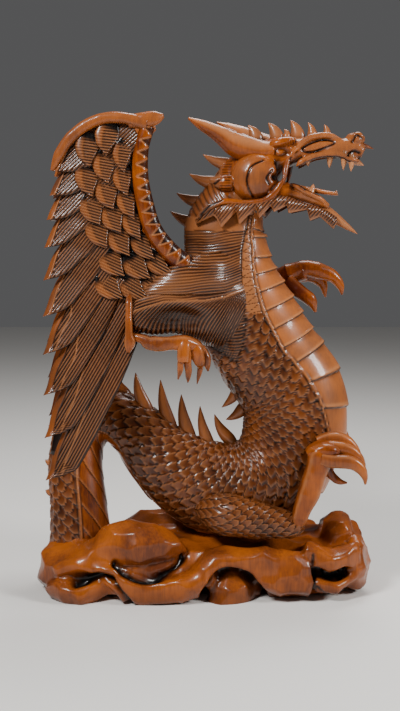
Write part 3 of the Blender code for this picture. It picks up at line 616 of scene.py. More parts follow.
def flightFeather(side, i):
    share = i / (wing["feathers"] - 1)
    root, tip = curvePoint(wing["roots"], share), curvePoint(wing["tips"], share)
    chord = tip - root
    length = np.linalg.norm(chord)
    outward = np.array([chord[1], -chord[0]]) / length
    bulge, wide = 15 - 12 * share**0.7, wing["featherWide"]
    # the upper edge runs straight and then bends down to the tip, where the lower edge is cut level
    line = [tuple(root + chord * s + outward * (bulge * math.sin(math.pi * s) + wide * 0.45 * (1 - s**2)))
            for s in ((0, 0.25) if i < 2 else (0, 0.22, 0.45))]
    sweep = 1 - 0.35 * share
    for right, up in ((24 * sweep, 35 + 12 * share), (11 * sweep, 20 + 7 * share), (3, 8), (0, 0)):
        line.append(tuple(tip + np.array([right, up])))
    full = 0.6 + 0.4 * share
    lower = [tuple(root + chord * s - outward * w * wide)
             for s, w in ((0, 0.75), (0.35, 0.95), (1 - 32 / length, 0.95 * full),
                          (1 - 15 / length, 0.68 * full), (1, 0.02))]
    low = stepUp(share, 0.5, 0.8)
    slant = math.radians(wing["hatchFrom"] + (wing["hatchTo"] - wing["hatchFrom"]) * share)

    def relief(run, offset, s, t, flat):
        band = (0.5 + 6.5 * stepUp(s, 0.45, 0.9)) * (1 - low) + (5 + 2 * stepUp(s, 0.5, 1)) * low
        beyond = offset - band
        lines = vGrooves(flat[..., 0] * math.sin(slant) - flat[..., 1] * math.cos(slant), wing["hatch"])
        hatched = stepUp(beyond, -0.3, 0.5)
        groove = lineCut(beyond, 0.7)
        shaft = lineCut(offset - (band - 1.5) * (1 - low) - 0.62 * wide * low, 0.8)
        # a dark strip along the lower edge is painted shadow, the dark gap under each feather
        paintedEdgeShade = stepUp(t, 0.86, 0.96)
        height = -wing["hatchDepth"] * lines * hatched - 0.9 * groove + 0.7 * shaft
        cut = np.maximum(np.maximum(lines**1.1 * hatched, groove) * (1 - 0.8 * shaft), 0.9 * paintedEdgeShade)
        worn = 0.55 * (1 - hatched) + 0.12 * hatched
        rubbedAndHighlight = np.maximum(0.55 * (1 - lines) ** 3 * hatched, 0.65 * shaft)
        return height, cut, worn, np.maximum(rubbedAndHighlight, 0.14 * (1 - hatched))

    return blade(side, line, lower, None, wing["featherThick"], wing["lean"], 62, 46, relief)


def covert(side, column, i):
    share = wing["covertFrom"] + 0.87 * (i + 0.5 * (column % 2)) / wing["covertRows"]
    if share > wing["covertTo"][column]:
        return None
    place, ahead = curvePoint(wingEdge, share), curvePoint(wingEdge, share + 0.03)
    ahead = unit(ahead - place)
    inward = np.array([-ahead[1], ahead[0]])
    top = place + inward * wing["covertInsets"][column] + ahead * 9
    axis = unit(-ahead - inward * 0.12)
    bow = np.array([-axis[1], axis[0]])
    line = [tuple(top + axis * wing["covertLong"] * s - bow * 3 * math.sin(math.pi * s))
            for s in (0, 0.3, 0.6, 0.85, 1)]
    if line[-1][1] < lineAt(wing["underShoulder"], line[-1][0]):
        return None
    slant = math.radians(lineAt(wing["covertSlant"], share))
    half = wing["covertHalf"] * (0.8 if column == 0 else 1)
    edge = [(0, 0.6), (0.2, 0.95), (0.45, 1), (0.68, 0.72), (0.88, 0.28), (1, 0.03)]
    edge = [(s, w * half) for s, w in edge]

    def relief(run, offset, s, t, flat):
        lines = vGrooves(flat[..., 0] * math.sin(slant) + flat[..., 1] * math.cos(slant), wing["hatch"])
        smoothCorner = stepUp(-t, 0.25, 0.45) * (1 - stepUp(s, 0.6, 0.85))
        # both side edges and the root are darkened as painted shade, where the covert lies beside and under
        # its neighbours
        paintedEdgeShade = stepUp(np.abs(t), 0.9, 1.0)
        paintedRootShade = 1 - stepUp(s, 0.12, 0.34)
        height = -wing["hatchDepth"] * lines * (1 - smoothCorner) + 6 * s
        cut = np.maximum(np.maximum(lines**1.1 * (1 - smoothCorner), paintedRootShade), 0.85 * paintedEdgeShade)
        worn = 0.12 + 0.3 * smoothCorner
        return height, cut, worn, np.maximum(0.7 * (1 - lines) ** 2.4, 0.12 * smoothCorner)

    return blade(side, line, None, edge, wing["covertThick"], 0, 40, 24, relief, base=1.0)


def boneRelief(form):
    # a light zigzag line parts honey teeth beside the coverts from the dark stained front
    low, high = wing["teethTurns"]
    place = (np.degrees(form["off"]) - low) / (high - low)
    across = (place - zigzagWave(form["run"], wing["zigzag"])) * wing["teethWide"]
    lines = lineCut(across, 0.55)
    dark = stepUp(across, -0.2, 0.2)
    return -0.5 * lines - 0.4 * dark, 0.25 * dark * (1 - lines), 1 - 0.85 * dark, 0.7 * lines


def innerFeathers(x, z):
    # place across each feather, 0 to 1, measured between the lines from the feathers' roots to their tips
    across = []
    for i in range(wing["feathers"]):
        share = i / (wing["feathers"] - 1)
        root, tip = curvePoint(wing["roots"], share), curvePoint(wing["tips"], share)
        down = unit(np.array([root[1] - tip[1], tip[0] - root[0]]))
        across.append((x - root[0]) * down[0] + (z - root[1]) * down[1])
    lap = np.full(x.shape, 0.5)
    for over, under in zip(across[:-1], across[1:]):
        between = (over >= 0) & (under < 0)
        lap = np.where(between, over / np.maximum(over - under, 1e-6), lap)
    return lap


def addWing(side):
    parts = [flightFeather(side, i) for i in range(wing["feathers"])]
    parts += [covert(side, column, i) for column in range(len(wing["covertInsets"]))
              for i in range(wing["covertRows"] + 1)]
    parts = [part for part in parts if part]
    bone = [(x, z, w, d, out) for (x, z), w, d, out in
            zip(wingEdge, wing["boneWide"], wing["boneDeep"], wing["boneOut"])]
    form = loft(wingRows(side, bone), 186, 60)
    parts.append(carve(form, *boneRelief(form)))
    for rows, count in ((wing["spur"], 36), (wing["rim"], 80)):
        form = loft(wingRows(side, rows), count, 28, square=0.8)
        parts.append(carve(form, gougeMarks(form["points"], size=10, depth=0.6), rubbedAndHighlight=0.2))
    back = wing["farBack"] if side == far else 0
    for rows, count, around, dark in ((wing["web"], 84, 46, 0.9), (wing["rootWeb"], 40, 30, 0.2)):
        # painted shade: the web is dark between the feathers and the root web a little dark on its outer
        # side, with plain lapped feathers on the side that faces the back
        form = loft(wingRows(side, rows), count, around)
        inner = stepUp(-side * np.sin(form["turn"]), -0.1, 0.1)
        lap = innerFeathers(form["points"][..., 0] + back, form["points"][..., 2])
        seam = lineCut(lap * wing["featherWide"], wing["seamWidth"]) * inner
        lapHeight = wing["innerLap"] * lap**1.3 - wing["innerLap"] / 2
        height = lapHeight * inner + gougeMarks(form["points"], size=13, depth=0.7) * inner
        parts.append(carve(form, height, np.maximum(dark * (1 - inner), 0.6 * seam), 0.25 + 0.3 * inner,
                           0.1 * inner + 0.2 * inner * lap**4))
    addPiece(f"{sideNames[side]}_wing", parts)


addWing(near)
addWing(far)


# Shoulders and arms

shoulder = {
    "near": [(34, -14, 262, 34, 20), (8, -24, 274, 38, 24), (-23, -40, 275, 29, 20),
             (-50, -51, 269, 21, 15), (-63, -57, 267, 15, 11), (-68, -59, 266, 13, 10)],
    "far": [(30, 12, 264, 30, 20), (8, 24, 276, 34, 22), (-20, 38, 282, 26, 18), (-40, 44, 294, 17, 10)],
    "mantle": [(24, 19, 300, 24, 18), (2, 33, 299, 26, 21), (-22, 45, 295, 21, 17), (-44, 50, 287, 14, 11),
               (-58, 53, 279, 6, 6)],
    "hollow": (-27, 263, 27, 13, 8),
}


def maneRelief(form, hollow=None):
    x, z = form["points"][..., 0], form["points"][..., 2]
    lines = maneLines(x, z)
    height, cut, worn, rubbedAndHighlight = combed(lines, mane["depth"])
    if hollow:
        cx, cz, rx, rz, deep = hollow
        sunk = np.exp(-((((x - cx) / rx) ** 2 + ((z - cz) / rz) ** 2) ** 2))
        height = height * (1 - 0.4 * sunk) - deep * sunk
        # the hollow under the shoulder is darkened as painted shade
        cut = np.maximum(cut, 0.7 * sunk)
    return height, cut, worn, rubbedAndHighlight


def outerTurns(side, fine, coarse):
    # ring angles set close on the outer half and wide on the half that lies inside the body
    centre = 270 if side == near else 90
    turns = [*np.arange(-95, 95, fine), *np.arange(95, 265, coarse)]
    return np.radians(sorted((centre + turn) % 360 for turn in turns))


def mantle(side):
    form = loft(onSide(side, shoulder["mantle"]), 88, turns=outerTurns(side, 1.8, 12))
    height, cut, worn, rubbedAndHighlight = maneRelief(form)
    sunk = 4 * stepUp(288 - form["points"][..., 2], 0, 5)  # its lower side stays under the shoulder
    return carve(form, height - sunk, cut, worn, rubbedAndHighlight)


def limb(rows, count, around, marks=9, depth=0.8, square=1.0, rubbedAndHighlight=0.0):
    # a smooth limb with the shallow scallops of a gouge
    form = loft(rows, count, around, square=square)
    corners = np.sin(2 * form["turn"]) ** 6 * (1 - square)
    return carve(form, gougeMarks(form["points"], marks, depth), rubbedAndHighlight=rubbedAndHighlight + corners)


arm = {
    "elbow": [(-68.5, -57, 284, 2, 5), (-68.7, -62, 278, 3, 8), (-68.7, -65, 262, 3.2, 9),
              (-68.6, -66, 252, 3.6, 9), (-68, -66, 246, 5.2, 9), (-68.5, -66, 240, 4.2, 8),
              (-69.3, -66, 235.5, 1.8, 6)],
    "fore": [(-70, -60, 249, 4, 6), (-62, -63, 248.3, 3.8, 7), (-56, -64, 246.6, 4.4, 8),
             (-50, -64, 243.3, 6.3, 9), (-41, -64, 242.7, 6.5, 9), (-31, -63, 243.3, 6.2, 9),
             (-22, -62, 243.5, 6.8, 9), (-14, -59, 242, 6.5, 9), (-7, -54, 237, 6, 8),
             (-3, -50, 230, 4, 6)],
    "fingers": [[(-18, -62, 247, 4.5, 6), (-19.3, -66, 240, 5.8, 7), (-19.9, -67, 232, 5.7, 7),
                 (-20, -67, 227, 5.2, 6)],
                [(-21.3, -66, 232, 3.6, 5), (-22.6, -66, 224, 2.8, 4.5), (-23, -65, 218, 2.5, 4),
                 (-24.8, -64, 210.5, 0.6, 1)],
                [(-15.5, -61, 238, 3.6, 5), (-16.2, -63, 226, 3.4, 5), (-15.5, -62, 219, 3.1, 4.5),
                 (-15.6, -61, 213, 2.4, 3.5), (-16, -60, 207, 0.6, 1)],
                [(-12, -59, 244, 4.5, 6), (-8.5, -60, 237, 6, 7), (-6.6, -59, 230, 6, 7),
                 (-5, -58, 224, 4.5, 6), (-4, -57, 218.5, 0.8, 1)],
                [(-4, -52, 239, 3, 5), (0.5, -53, 230, 3.8, 6), (1.5, -53, 223.5, 3.4, 5),
                 (2.3, -52, 216.5, 0.8, 1)],
                [(-4, -54, 223, 2.6, 4), (-5.6, -53, 215, 2.3, 3.5), (-7.7, -52, 204.5, 0.5, 1)]],
    "farFore": [(8, 30, 284, 17, 14), (34, 42, 289, 14, 12), (62, 45, 292, 11, 10), (84, 41, 301, 10, 9),
                (98, 37, 305, 9, 9)],
    "farFingers": [[(80, 38, 302, 9, 9), (98, 37, 307, 8, 8), (114, 38, 304, 8, 8), (126, 38, 299, 6, 6),
                    (133, 38, 290, 4, 4), (135, 38, 281, 1, 1)],
                   [(80, 33, 294, 9, 8), (93, 28, 284, 7, 7), (103, 26, 276, 6, 6), (108, 27, 265, 1, 1)],
                   [(84, 46, 300, 8, 8), (104, 50, 300, 7, 7), (116, 51, 292, 5, 5), (120, 50, 278, 1, 1)]],
}


def addNearArm():
    form = loft(shoulder["near"], 112, turns=outerTurns(near, 1.5, 14))
    parts = [carve(form, *maneRelief(form, shoulder["hollow"])), mantle(near)]
    parts.append(limb(arm["elbow"], 60, 32, marks=9, depth=0.8, square=0.55, rubbedAndHighlight=0.1))
    parts.append(limb(arm["fore"], 120, 44, marks=9, depth=1.1, square=0.65, rubbedAndHighlight=0.1))
    for finger in arm["fingers"]:
        parts.append(limb(finger, 40, 24, marks=7, depth=0.5, square=0.7, rubbedAndHighlight=0.1))
    addPiece("near_arm", parts)


def addFarArm():
    form = loft(shoulder["far"], 72, turns=outerTurns(far, 2.2, 14))
    parts = [carve(form, *maneRelief(form)), mantle(far)]
    parts.append(limb(arm["farFore"], 110, 44, marks=10, depth=0.9))
    for finger in arm["farFingers"]:
        parts.append(limb(finger, 56, 28, marks=8, depth=0.8, square=0.85))
    addPiece("far_arm", parts)


addNearArm()
addFarArm()


# Hind legs

leg = {
    "thigh": [(-3, 24, 80, 8, 8), (6, 34, 81, 15, 13), (18, 40, 80, 18.5, 17), (32, 42, 78, 18, 17),
              (48, 43, 75, 16, 15), (64, 44, 73, 14, 13), (80, 46, 71, 11, 11), (90, 47, 74, 6, 8)],
    "shin": [(84.5, 48, 69.5, 2.5, 6), (87, 50, 78, 6.5, 9), (90, 51, 88, 8, 10), (95, 52, 101, 9.7, 11),
             (100, 53, 117, 10.2, 11), (103.5, 53, 128, 10.4, 12), (106, 52, 138, 11, 13),
             (110, 51, 147, 7, 12)],
    "instep": [(94, 51, 139, 4, 8), (100, 51, 142, 7, 12), (108, 51, 144, 8, 14), (116, 51, 143.5, 7, 14),
               (122, 51, 142, 4, 12)],
    "toes": [[(106, 60, 137, 6, 6), (114, 61, 135, 6.4, 6), (122, 61, 134.5, 6.4, 6.5),
              (130, 61, 134, 6.2, 6.5), (137, 61, 131.5, 5.8, 6), (142, 61, 127, 5, 5.5),
              (145.5, 61, 120.5, 3.2, 4), (146.5, 61, 113, 0.8, 1)],
             [(106, 51, 145, 6, 6), (114, 51, 145.5, 6.4, 6), (122, 51, 145, 6.6, 6.5),
              (130, 51, 143, 6.4, 6.5), (137, 51, 139, 6, 6), (142, 51, 133, 5, 5.5),
              (145, 51, 125, 3.2, 4), (146, 51, 116, 0.8, 1)],
             [(104, 41, 149, 5, 6), (112, 41, 151.5, 6, 6), (120, 41, 152, 6.4, 6.5),
              (128, 41, 150, 6.4, 6.5), (134, 41, 146, 6, 6), (139.5, 41, 139, 5, 5.5),
              (142.5, 41, 130, 3.2, 4), (143.5, 41, 121, 0.8, 1)]],
    "heel": [(110, 50, 130, 5, 6), (117, 50, 119, 4, 5), (124, 50, 113.5, 3, 4), (131, 50, 112, 0.8, 1)],
    "scaleLength": 5.2, "scaleWidth": 9.0, "scaleLift": 1.6, "scaleLean": -0.4,
}


def addLeg(side):
    form = loft(onSide(side, leg["thigh"]), 96, turns=outerTurns(side, 2.2, 9))
    tips, cut, rim = shingles(form["run"], form["fromBack"], leg["scaleLength"], leg["scaleWidth"],
                              leg["scaleLift"], leg["scaleLean"])
    # the scales' pale rims are a painted highlight, and the dark line past each edge is partly painted
    # shadow
    parts = [carve(form, tips, cut, 0.35, 0.04 + 0.3 * rim)]
    parts.append(limb(onSide(side, leg["shin"]), 96, 44, marks=11, depth=1.3, square=0.6, rubbedAndHighlight=0.05))
    parts.append(limb(onSide(side, leg["instep"]), 60, 36, marks=9, depth=0.8, square=0.8))
    # three toes side by side curl over and end in claws
    for toe in leg["toes"]:
        parts.append(limb(onSide(side, toe), 66, 28, marks=8, depth=0.5, square=0.7, rubbedAndHighlight=0.15))
    parts.append(limb(onSide(side, leg["heel"]), 40, 24, marks=8, depth=0.5, square=0.8))
    addPiece(f"{sideNames[side]}_leg", parts)


addLeg(near)
addLeg(far)


# Head, drawn straight and then turned a little to the near side

headTurn = math.radians(8)
headPivot = 33


def turnHead(points):
    ahead, y = points[:, 0] - headPivot, points[:, 1]
    x = headPivot + ahead * math.cos(headTurn) + y * math.sin(headTurn)
    aside = np.maximum(ahead, 0) * math.sin(headTurn)  # the nape keeps its place on the neck
    return np.stack([x, y * math.cos(headTurn) - aside, points[:, 2]], axis=-1)


def ball(centre, radii, tilt=0.0, count=40, around=40):
    # an ellipsoid as rings along its first axis, turned in the side view
    slope = np.linspace(0.03, math.pi - 0.03, count)
    turn = np.linspace(0, 2 * math.pi, around, endpoint=False)
    x = radii[0] * np.cos(slope)[:, None] + 0 * turn[None, :]
    y = -radii[1] * np.sin(slope)[:, None] * np.cos(turn)[None, :]
    z = radii[2] * np.sin(slope)[:, None] * np.sin(turn)[None, :]
    c, s = math.cos(math.radians(tilt)), math.sin(math.radians(tilt))
    points = np.stack([x * c + z * s, y, z * c - x * s], axis=-1)
    return {"points": points + np.array(centre, float), "normal": unit(points)}


def weld(name, parts, voxel, smooth, relief):
    # joins masses into one skin by a fine remesh, softens their joints and then carves the skin
    points, faces = joined(parts)
    mesh = bpy.data.meshes.new(name)
    mesh.from_pydata((points * mm).tolist(), [], faces)
    rough = placed(name + "_masses", mesh)
    remesh = rough.modifiers.new("weld", "REMESH")
    remesh.mode = "VOXEL"
    remesh.voxel_size = voxel * mm
    soften = rough.modifiers.new("soften", "SMOOTH")
    soften.iterations = smooth
    seen = rough.evaluated_get(bpy.context.evaluated_depsgraph_get())
    welded = bpy.data.meshes.new_from_object(seen)
    bpy.data.objects.remove(rough)
    points = np.zeros(len(welded.vertices) * 3, np.float32)
    normals = np.zeros(len(welded.vertices) * 3, np.float32)
    welded.vertices.foreach_get("co", points)
    welded.vertices.foreach_get("normal", normals)
    points, normals = points.reshape(-1, 3).astype(float) / mm, normals.reshape(-1, 3).astype(float)
    height, cut, worn, rubbedAndHighlight = relief(points, normals, hollowness(welded, points, normals))
    quads = np.array([tuple(f.vertices) for f in welded.polygons if len(f.vertices) == 4], int)
    tris = np.array([tuple(f.vertices) for f in welded.polygons if len(f.vertices) == 3], int)
    bpy.data.meshes.remove(welded)
    return {"points": points + normals * height[:, None], "quads": quads.reshape(-1, 4),
            "tris": tris.reshape(-1, 3), "cut": cut, "worn": worn, "rubbedAndHighlight": rubbedAndHighlight}


def hollowness(mesh, points, normals, rounds=12):
    # over 0 where the skin lies in a hollow: how far its neighbourhood stands out above it, in mm
    edges = np.zeros(len(mesh.edges) * 2, np.int32)
    mesh.edges.foreach_get("vertices", edges)
    a, b = edges.reshape(-1, 2).T
    count = np.bincount(a, minlength=len(points)) + np.bincount(b, minlength=len(points))
    spread = points
    for _ in range(rounds):
        total = [np.bincount(a, spread[b, k], len(points)) + np.bincount(b, spread[a, k], len(points))
                 for k in range(3)]
        spread = np.stack(total, axis=-1) / np.maximum(count, 1)[:, None]
    return ((spread - points) * normals).sum(-1)


def engrave(points, carving, lines, shown=True):
    # cuts smooth lines of a given width and depth into a welded skin, seen from the side
    height, cut = carving
    for line, width, depth in lines:
        line = np.array(line, float)
        low, high = line.min(0) - 3 * width, line.max(0) + 3 * width
        x, z = points[:, 0], points[:, 2]
        close = (x > low[0]) & (x < high[0]) & (z > low[1]) & (z < high[1]) & shown
        distance = distanceTo(x[close], z[close], line.tolist())
        groove = lineCut(distance, width)
        height[close] -= depth * groove
        cut[close] = np.maximum(cut[close], np.minimum(1.3 * groove, 1))


head = {
    "skull": [(22, 0, 366, 24, 22), (34, 0, 386, 26, 24), (48, 0, 402, 23, 23), (66, 0, 414, 17, 19),
              (84, 0, 420, 11, 16)],
    "upperJaw": [(66, 0, 414, 15, 18), (86, 0, 418, 12, 16), (106, 0, 421.5, 9, 14),
                 (126, 0, 420, 9, 12), (140, 0, 418, 9, 10), (147, 0, 415, 6, 8)],
    "lowerJaw": [(58, 0, 378, 12, 20), (76, 0, 379, 10, 18), (92, 0, 376, 7, 15), (105, 0, 371, 5.5, 11),
                 (116, 0, 366, 3, 6)],
    "cheek": ((49, 20, 392), (22.5, 15, 23)),
    "rim": [(128, 8, 428), (117, 10, 431), (107.7, 13, 431), (98.6, 15, 429), (92, 16, 425),
            (87, 18, 420), (82.5, 21, 415), (79, 23, 408), (77.5, 26, 401), (76, 28, 394),
            (73, 30, 387), (69, 31, 380), (63, 32, 374.5), (56, 33, 371), (45, 33, 369.5),
            (36, 33.5, 370), (26.5, 35, 371), (19, 35.5, 370), (9, 34.5, 366), (2, 32, 361), (-5, 28, 354)],
    "lip": [(86, 17, 402), (90, 17, 406), (95, 16, 409), (101, 15, 411.5), (108, 14, 413), (117, 12.5, 414),
            (124.4, 11.5, 413.5), (131, 10.5, 411.5), (137, 9.5, 409), (146, 6, 406.5)],
    "lowerLip": [(80, 18, 388), (88, 17, 384), (94.5, 15, 380), (101, 13, 377), (108, 10, 373.5),
                 (115, 6, 368)],
    "cuts": [([(57, 408), (47, 402.7), (42.6, 392), (43.6, 383), (48, 374)], 0.9, 1.4),
             ([(65.5, 399), (60.7, 392), (62.8, 386)], 0.9, 1.2),
             ([(68.6, 392.8), (70.6, 392.8)], 3.2, 5),
             ([(91.4, 419), (98.7, 423.4), (107.8, 426.6), (116.9, 426.6), (121, 424), (112.4, 419.6),
               (103.4, 416.5), (94.2, 415.6), (91.4, 419)], 0.9, 1.6),
             ([(134, 413.5), (139, 416.5), (143.5, 415)], 1.6, 2),
             ([(137, 425), (141, 431), (146, 428)], 1.0, 1.4),
             ([(12, 398), (4, 392), (-1, 384)], 1.0, 1.3), ([(18, 378), (8, 376), (0, 368)], 1.0, 1.3),
             ([(20, 372), (8, 366), (0, 358)], 1.0, 1.3), ([(16, 390), (8, 384), (2, 378)], 0.9, 1.2)],
    "eye": (72, 415.5, 8.6, 4.6), "eyeball": (4.4, 2.9), "socketDepth": 3.5, "eyeballRise": 2.6,
    "comb": (16.5, 27.5, 380, 409), "browComb": (72, 88, 420.5, 428), "combDepth": 0.9,
    "rims": {"rim": 2.7, "lip": 2.8, "lowerLip": 2.3},    # half thickness of each carved edge
    "voxel": 1.1, "soften": 2,
    "tongue": [(80, 0, 384, 4, 8), (104, 0, 381, 2.5, 6), (120, 0, 378.5, 1.8, 3), (124, 0, 379, 2.6, 3)],
    "horns": [[(64, -12, 418, 8, 7), (52, -16, 417, 10.5, 8), (39, -19, 419.5, 11.5, 8.5),
               (28, -22, 424, 10.5, 8), (17, -24, 431.3, 8.2, 7), (7.7, -26, 436.2, 6.2, 6),
               (-1.2, -27.5, 440.6, 4.4, 4.5), (-12, -29, 446, 0.8, 1)],
              [(66, 12, 421, 9, 8), (52, 16, 427, 9, 8), (38, 20, 433, 8, 7), (22, 24, 440, 6, 6),
               (7, 27, 447.5, 0.8, 1)]],
    # foot, tip and width of each spike of the crest; foot and size of each upper tooth
    "crest": [((48, 428), (40, 442), 13), ((68, 428), (59, 444), 13), ((76, 430), (74, 438), 8),
              ((87, 429), (80, 446), 13), ((100, 430), (96, 444), 9), ((113, 430), (111, 442), 8)],
    "teeth": [(97, 412, 0.9), (117, 413, 1.2), (130, 411, 1.2), (137, 408, 1.0)],
}


def addHead():
    parts = [carve(loft(head["skull"], 80, 72)), carve(loft(head["upperJaw"], 90, 60, square=0.8)),
             carve(loft(head["lowerJaw"], 70, 56, square=0.85)), carve(ball((140, 0, 428), (9, 9, 6)))]
    for side in (near, far):
        (x, y, z), radii = head["cheek"]
        parts.append(carve(ball((x, side * y, z), radii, 0, 60, 60)))
        parts.append(carve(ball((72, side * 13, 424.5), (14, 8, 5), -14)))
        parts.append(carve(ball((142, side * 7.5, 429), (5.5, 4, 5.5))))
        for line, thick in head["rims"].items():
            rows = [(*place, thick, thick) for place in onSide(side, head[line])]
            rows[0] = (*rows[0][:3], 0.5, 0.5)
            rows[-1] = (*rows[-1][:3], 0.5, 0.5)
            parts.append(carve(loft(rows, 130, 16)))
        parts.append(leaf((24, side * 24, 388), (5, side * 21, 392), width=15, thick=9, bend=1))

    def relief(points, normals, hollow):
        x, y, z = points.T
        outer = np.abs(y)
        height = gougeMarks(points, size=11, depth=0.9)
        # darker in the skin's hollows: stain gathered there and painted shade
        cut = stepUp(hollow, 0.25, 1.3) * 0.95
        # inside the mouth the surfaces that face into it are darkened as painted shade
        palateShade = (x > 80) & (x < 150) & (z > 376) & (z < 417)
        cut = np.maximum(cut, 0.9 * palateShade * stepUp(-normals[:, 2] * np.sign(z - 395), 0.3, 0.8))
        engrave(points, (height, cut), head["cuts"], outer > 7)
        # the mouth's corner is darkened where it faces forward, as painted shade
        corner = (x > 66) & (x < 96) & (z > 381) & (z < 411) & (outer < 25)
        cut = np.maximum(cut, 0.9 * corner * stepUp(normals[:, 0], 0.1, 0.6))
        ex, ez, rx, rz = head["eye"]
        socket = np.hypot((x - ex) / rx, (z - ez) / rz)
        hole = np.exp(-(socket**4)) * (outer > 12)
        rx, rz = head["eyeball"]
        eyeball = np.exp(-((np.hypot((x - ex) / rx, (z - ez) / rz)) ** 4)) * (outer > 12)
        height = height - head["socketDepth"] * hole + head["eyeballRise"] * eyeball
        cut = np.maximum(cut, hole) * (1 - eyeball)
        for (x0, x1, z0, z1), across, pitch in ((head["comb"], z, 2.6), (head["browComb"], x, 2.2)):
            inside = stepUp(x, x0, x0 + 1) * stepUp(-x, -x1, 1 - x1) * (z > z0) * (z < z1) * (outer > 5)
            lines = vGrooves(across, pitch) * inside
            height = height - head["combDepth"] * lines
            cut = np.maximum(cut, lines**1.5)
        nape = stepUp(-x, -20, -14)
        (cx, _, cz), (rx, _, rz) = head["cheek"]
        # a painted highlight on the cheek's dome
        paintedCheekHighlight = np.exp(-((np.hypot((x - cx + 4) / rx, (z - cz - 4) / rz) / 0.85) ** 4)) * (outer > 20)
        rubbedAndHighlight = 0.26 * stepUp(x, 74, 92) + 0.2 * nape + 0.1 * eyeball + 0.22 * paintedCheekHighlight + 0.05
        return height, cut, 1 - 0.6 * nape, rubbedAndHighlight * (1 - cut)

    parts = [weld("head", parts, head["voxel"], head["soften"], relief)]
    parts.append(limb(head["tongue"], 50, 24, marks=9, depth=0.4, rubbedAndHighlight=0.4))
    parts.append(leaf((142, 0, 424), (157, 0, 419), width=6, thick=8))
    parts.append(leaf((134, 0, 411), (148, 0, 404), width=9, thick=15, rubbedAndHighlight=0.6))
    addPiece("head", parts, turnHead)


def addHorns():
    parts = []
    for rows in head["horns"]:
        form = loft(rows, 90, 48, square=1.3)
        # the upper facets are painted pale along their ridges as a highlight
        turn = np.degrees(form["turn"])
        hornTopHighlight = lineCut((turn - 225) / 38, 1) + lineCut((turn - 135) / 38, 1)
        parts.append(carve(form, gougeMarks(form["points"], size=12, depth=0.8), rubbedAndHighlight=0.6 * hornTopHighlight))
    addPiece("horns", parts, turnHead)


def addCrestAndTeeth():
    parts = [leaf((rx, 0, rz), (tx, 0, tz), wide, thick=7, bend=-1.5, rubbedAndHighlight=0.35)
             for (rx, rz), (tx, tz), wide in head["crest"]]
    for side in (near, far):
        for x, z, size in head["teeth"]:
            foot, point = (x, side * 9, z + 3), (x - 1, side * 8.5, z - 9 * size)
            parts.append(leaf(foot, point, width=6, thick=5, rubbedAndHighlight=0.9))
        parts.append(leaf((99, side * 10, 377), (102, side * 9, 387), width=7, thick=5, rubbedAndHighlight=0.6))
    addPiece("crest_and_teeth", parts, turnHead)


beard = {
    "top": [(-6, 354), (2, 361), (9, 366), (19, 369.5), (36, 370), (56, 371), (66, 374.5), (78, 374),
            (90, 369.5), (101, 366), (108, 364), (115, 361), (124, 355)],
    "depths": [(-6, 23), (2, 27), (9, 29.5), (26, 32), (56, 31), (70, 27), (82, 20), (101, 13), (124, 7)],
    "jags": [(-6, 350), (12, 357.5), (14.5, 355), (18.9, 346.5), (33, 361.5), (35.5, 349.5), (50.6, 364.7),
             (54, 355.5), (64.2, 367), (67, 361), (78.6, 367), (80, 360), (96.7, 363.5), (99.5, 353),
             (108.5, 357), (121, 345.5), (124, 352)],
    "pitch": 2.5, "depth": 0.8, "thick": 5, "bow": 3.5,
}


def addBeard():
    parts = []
    for side in (near, far):
        # a frill that hangs from the lip rim and ends in pointed leaves
        x = np.linspace(-6, 124, 250)
        low = lineAt(beard["jags"], x)
        path = flatCurve(beard["top"], 400)[0]
        high = np.maximum(np.interp(x, path[:, 0], path[:, 1]) + 1.5, low + 2)
        y = lineAt(beard["depths"], x)
        v = np.linspace(0, 1, 22)
        z = high[:, None] + (low - high)[:, None] * v[None, :]
        across = x[:, None] + 0 * v[None, :]
        lines = vGrooves(across * 0.75 - z * 0.66, beard["pitch"])
        bow = beard["bow"] * np.sin(math.pi * v)[None, :] * np.minimum((high - low) / 14, 1)[:, None]
        tip = stepUp(v, 0.72, 0.95)[None, :] + 0 * across
        out = y[:, None] + bow + beard["thick"] / 2 - beard["depth"] * lines * (1 - tip)
        front = np.stack([across, side * out, z], axis=-1)
        inner = np.linspace(1, 0, 4)
        backZ = high[:, None] + (low - high)[:, None] * inner[None, :]
        backY = y[:, None] - beard["thick"] / 2 + 0 * backZ
        behind = np.stack([x[:, None] + 0 * backZ, side * backY, backZ], axis=-1)
        ring = np.concatenate([front, behind], axis=1)
        plain = np.zeros(backZ.shape)
        values = [np.concatenate([lines**1.5 * (1 - tip), plain + 0.5], axis=1),
                  np.concatenate([0.35 + 0.3 * tip, plain + 0.4], axis=1),
                  np.concatenate([0.4 * (1 - lines) ** 2 * (1 - tip) + 0.45 * tip, plain], axis=1)]
        if side == far:
            ring, values = ring[:, ::-1], [value[:, ::-1] for value in values]
        parts.append(ringSkin(ring, *values))
    parts.append(leaf((110, 0, 364), (143, 0, 341), width=11, thick=10, rubbedAndHighlight=0.4))
    addPiece("beard", parts, turnHead)


addHead()
addHorns()
addCrestAndTeeth()
addBeard()


# The rock

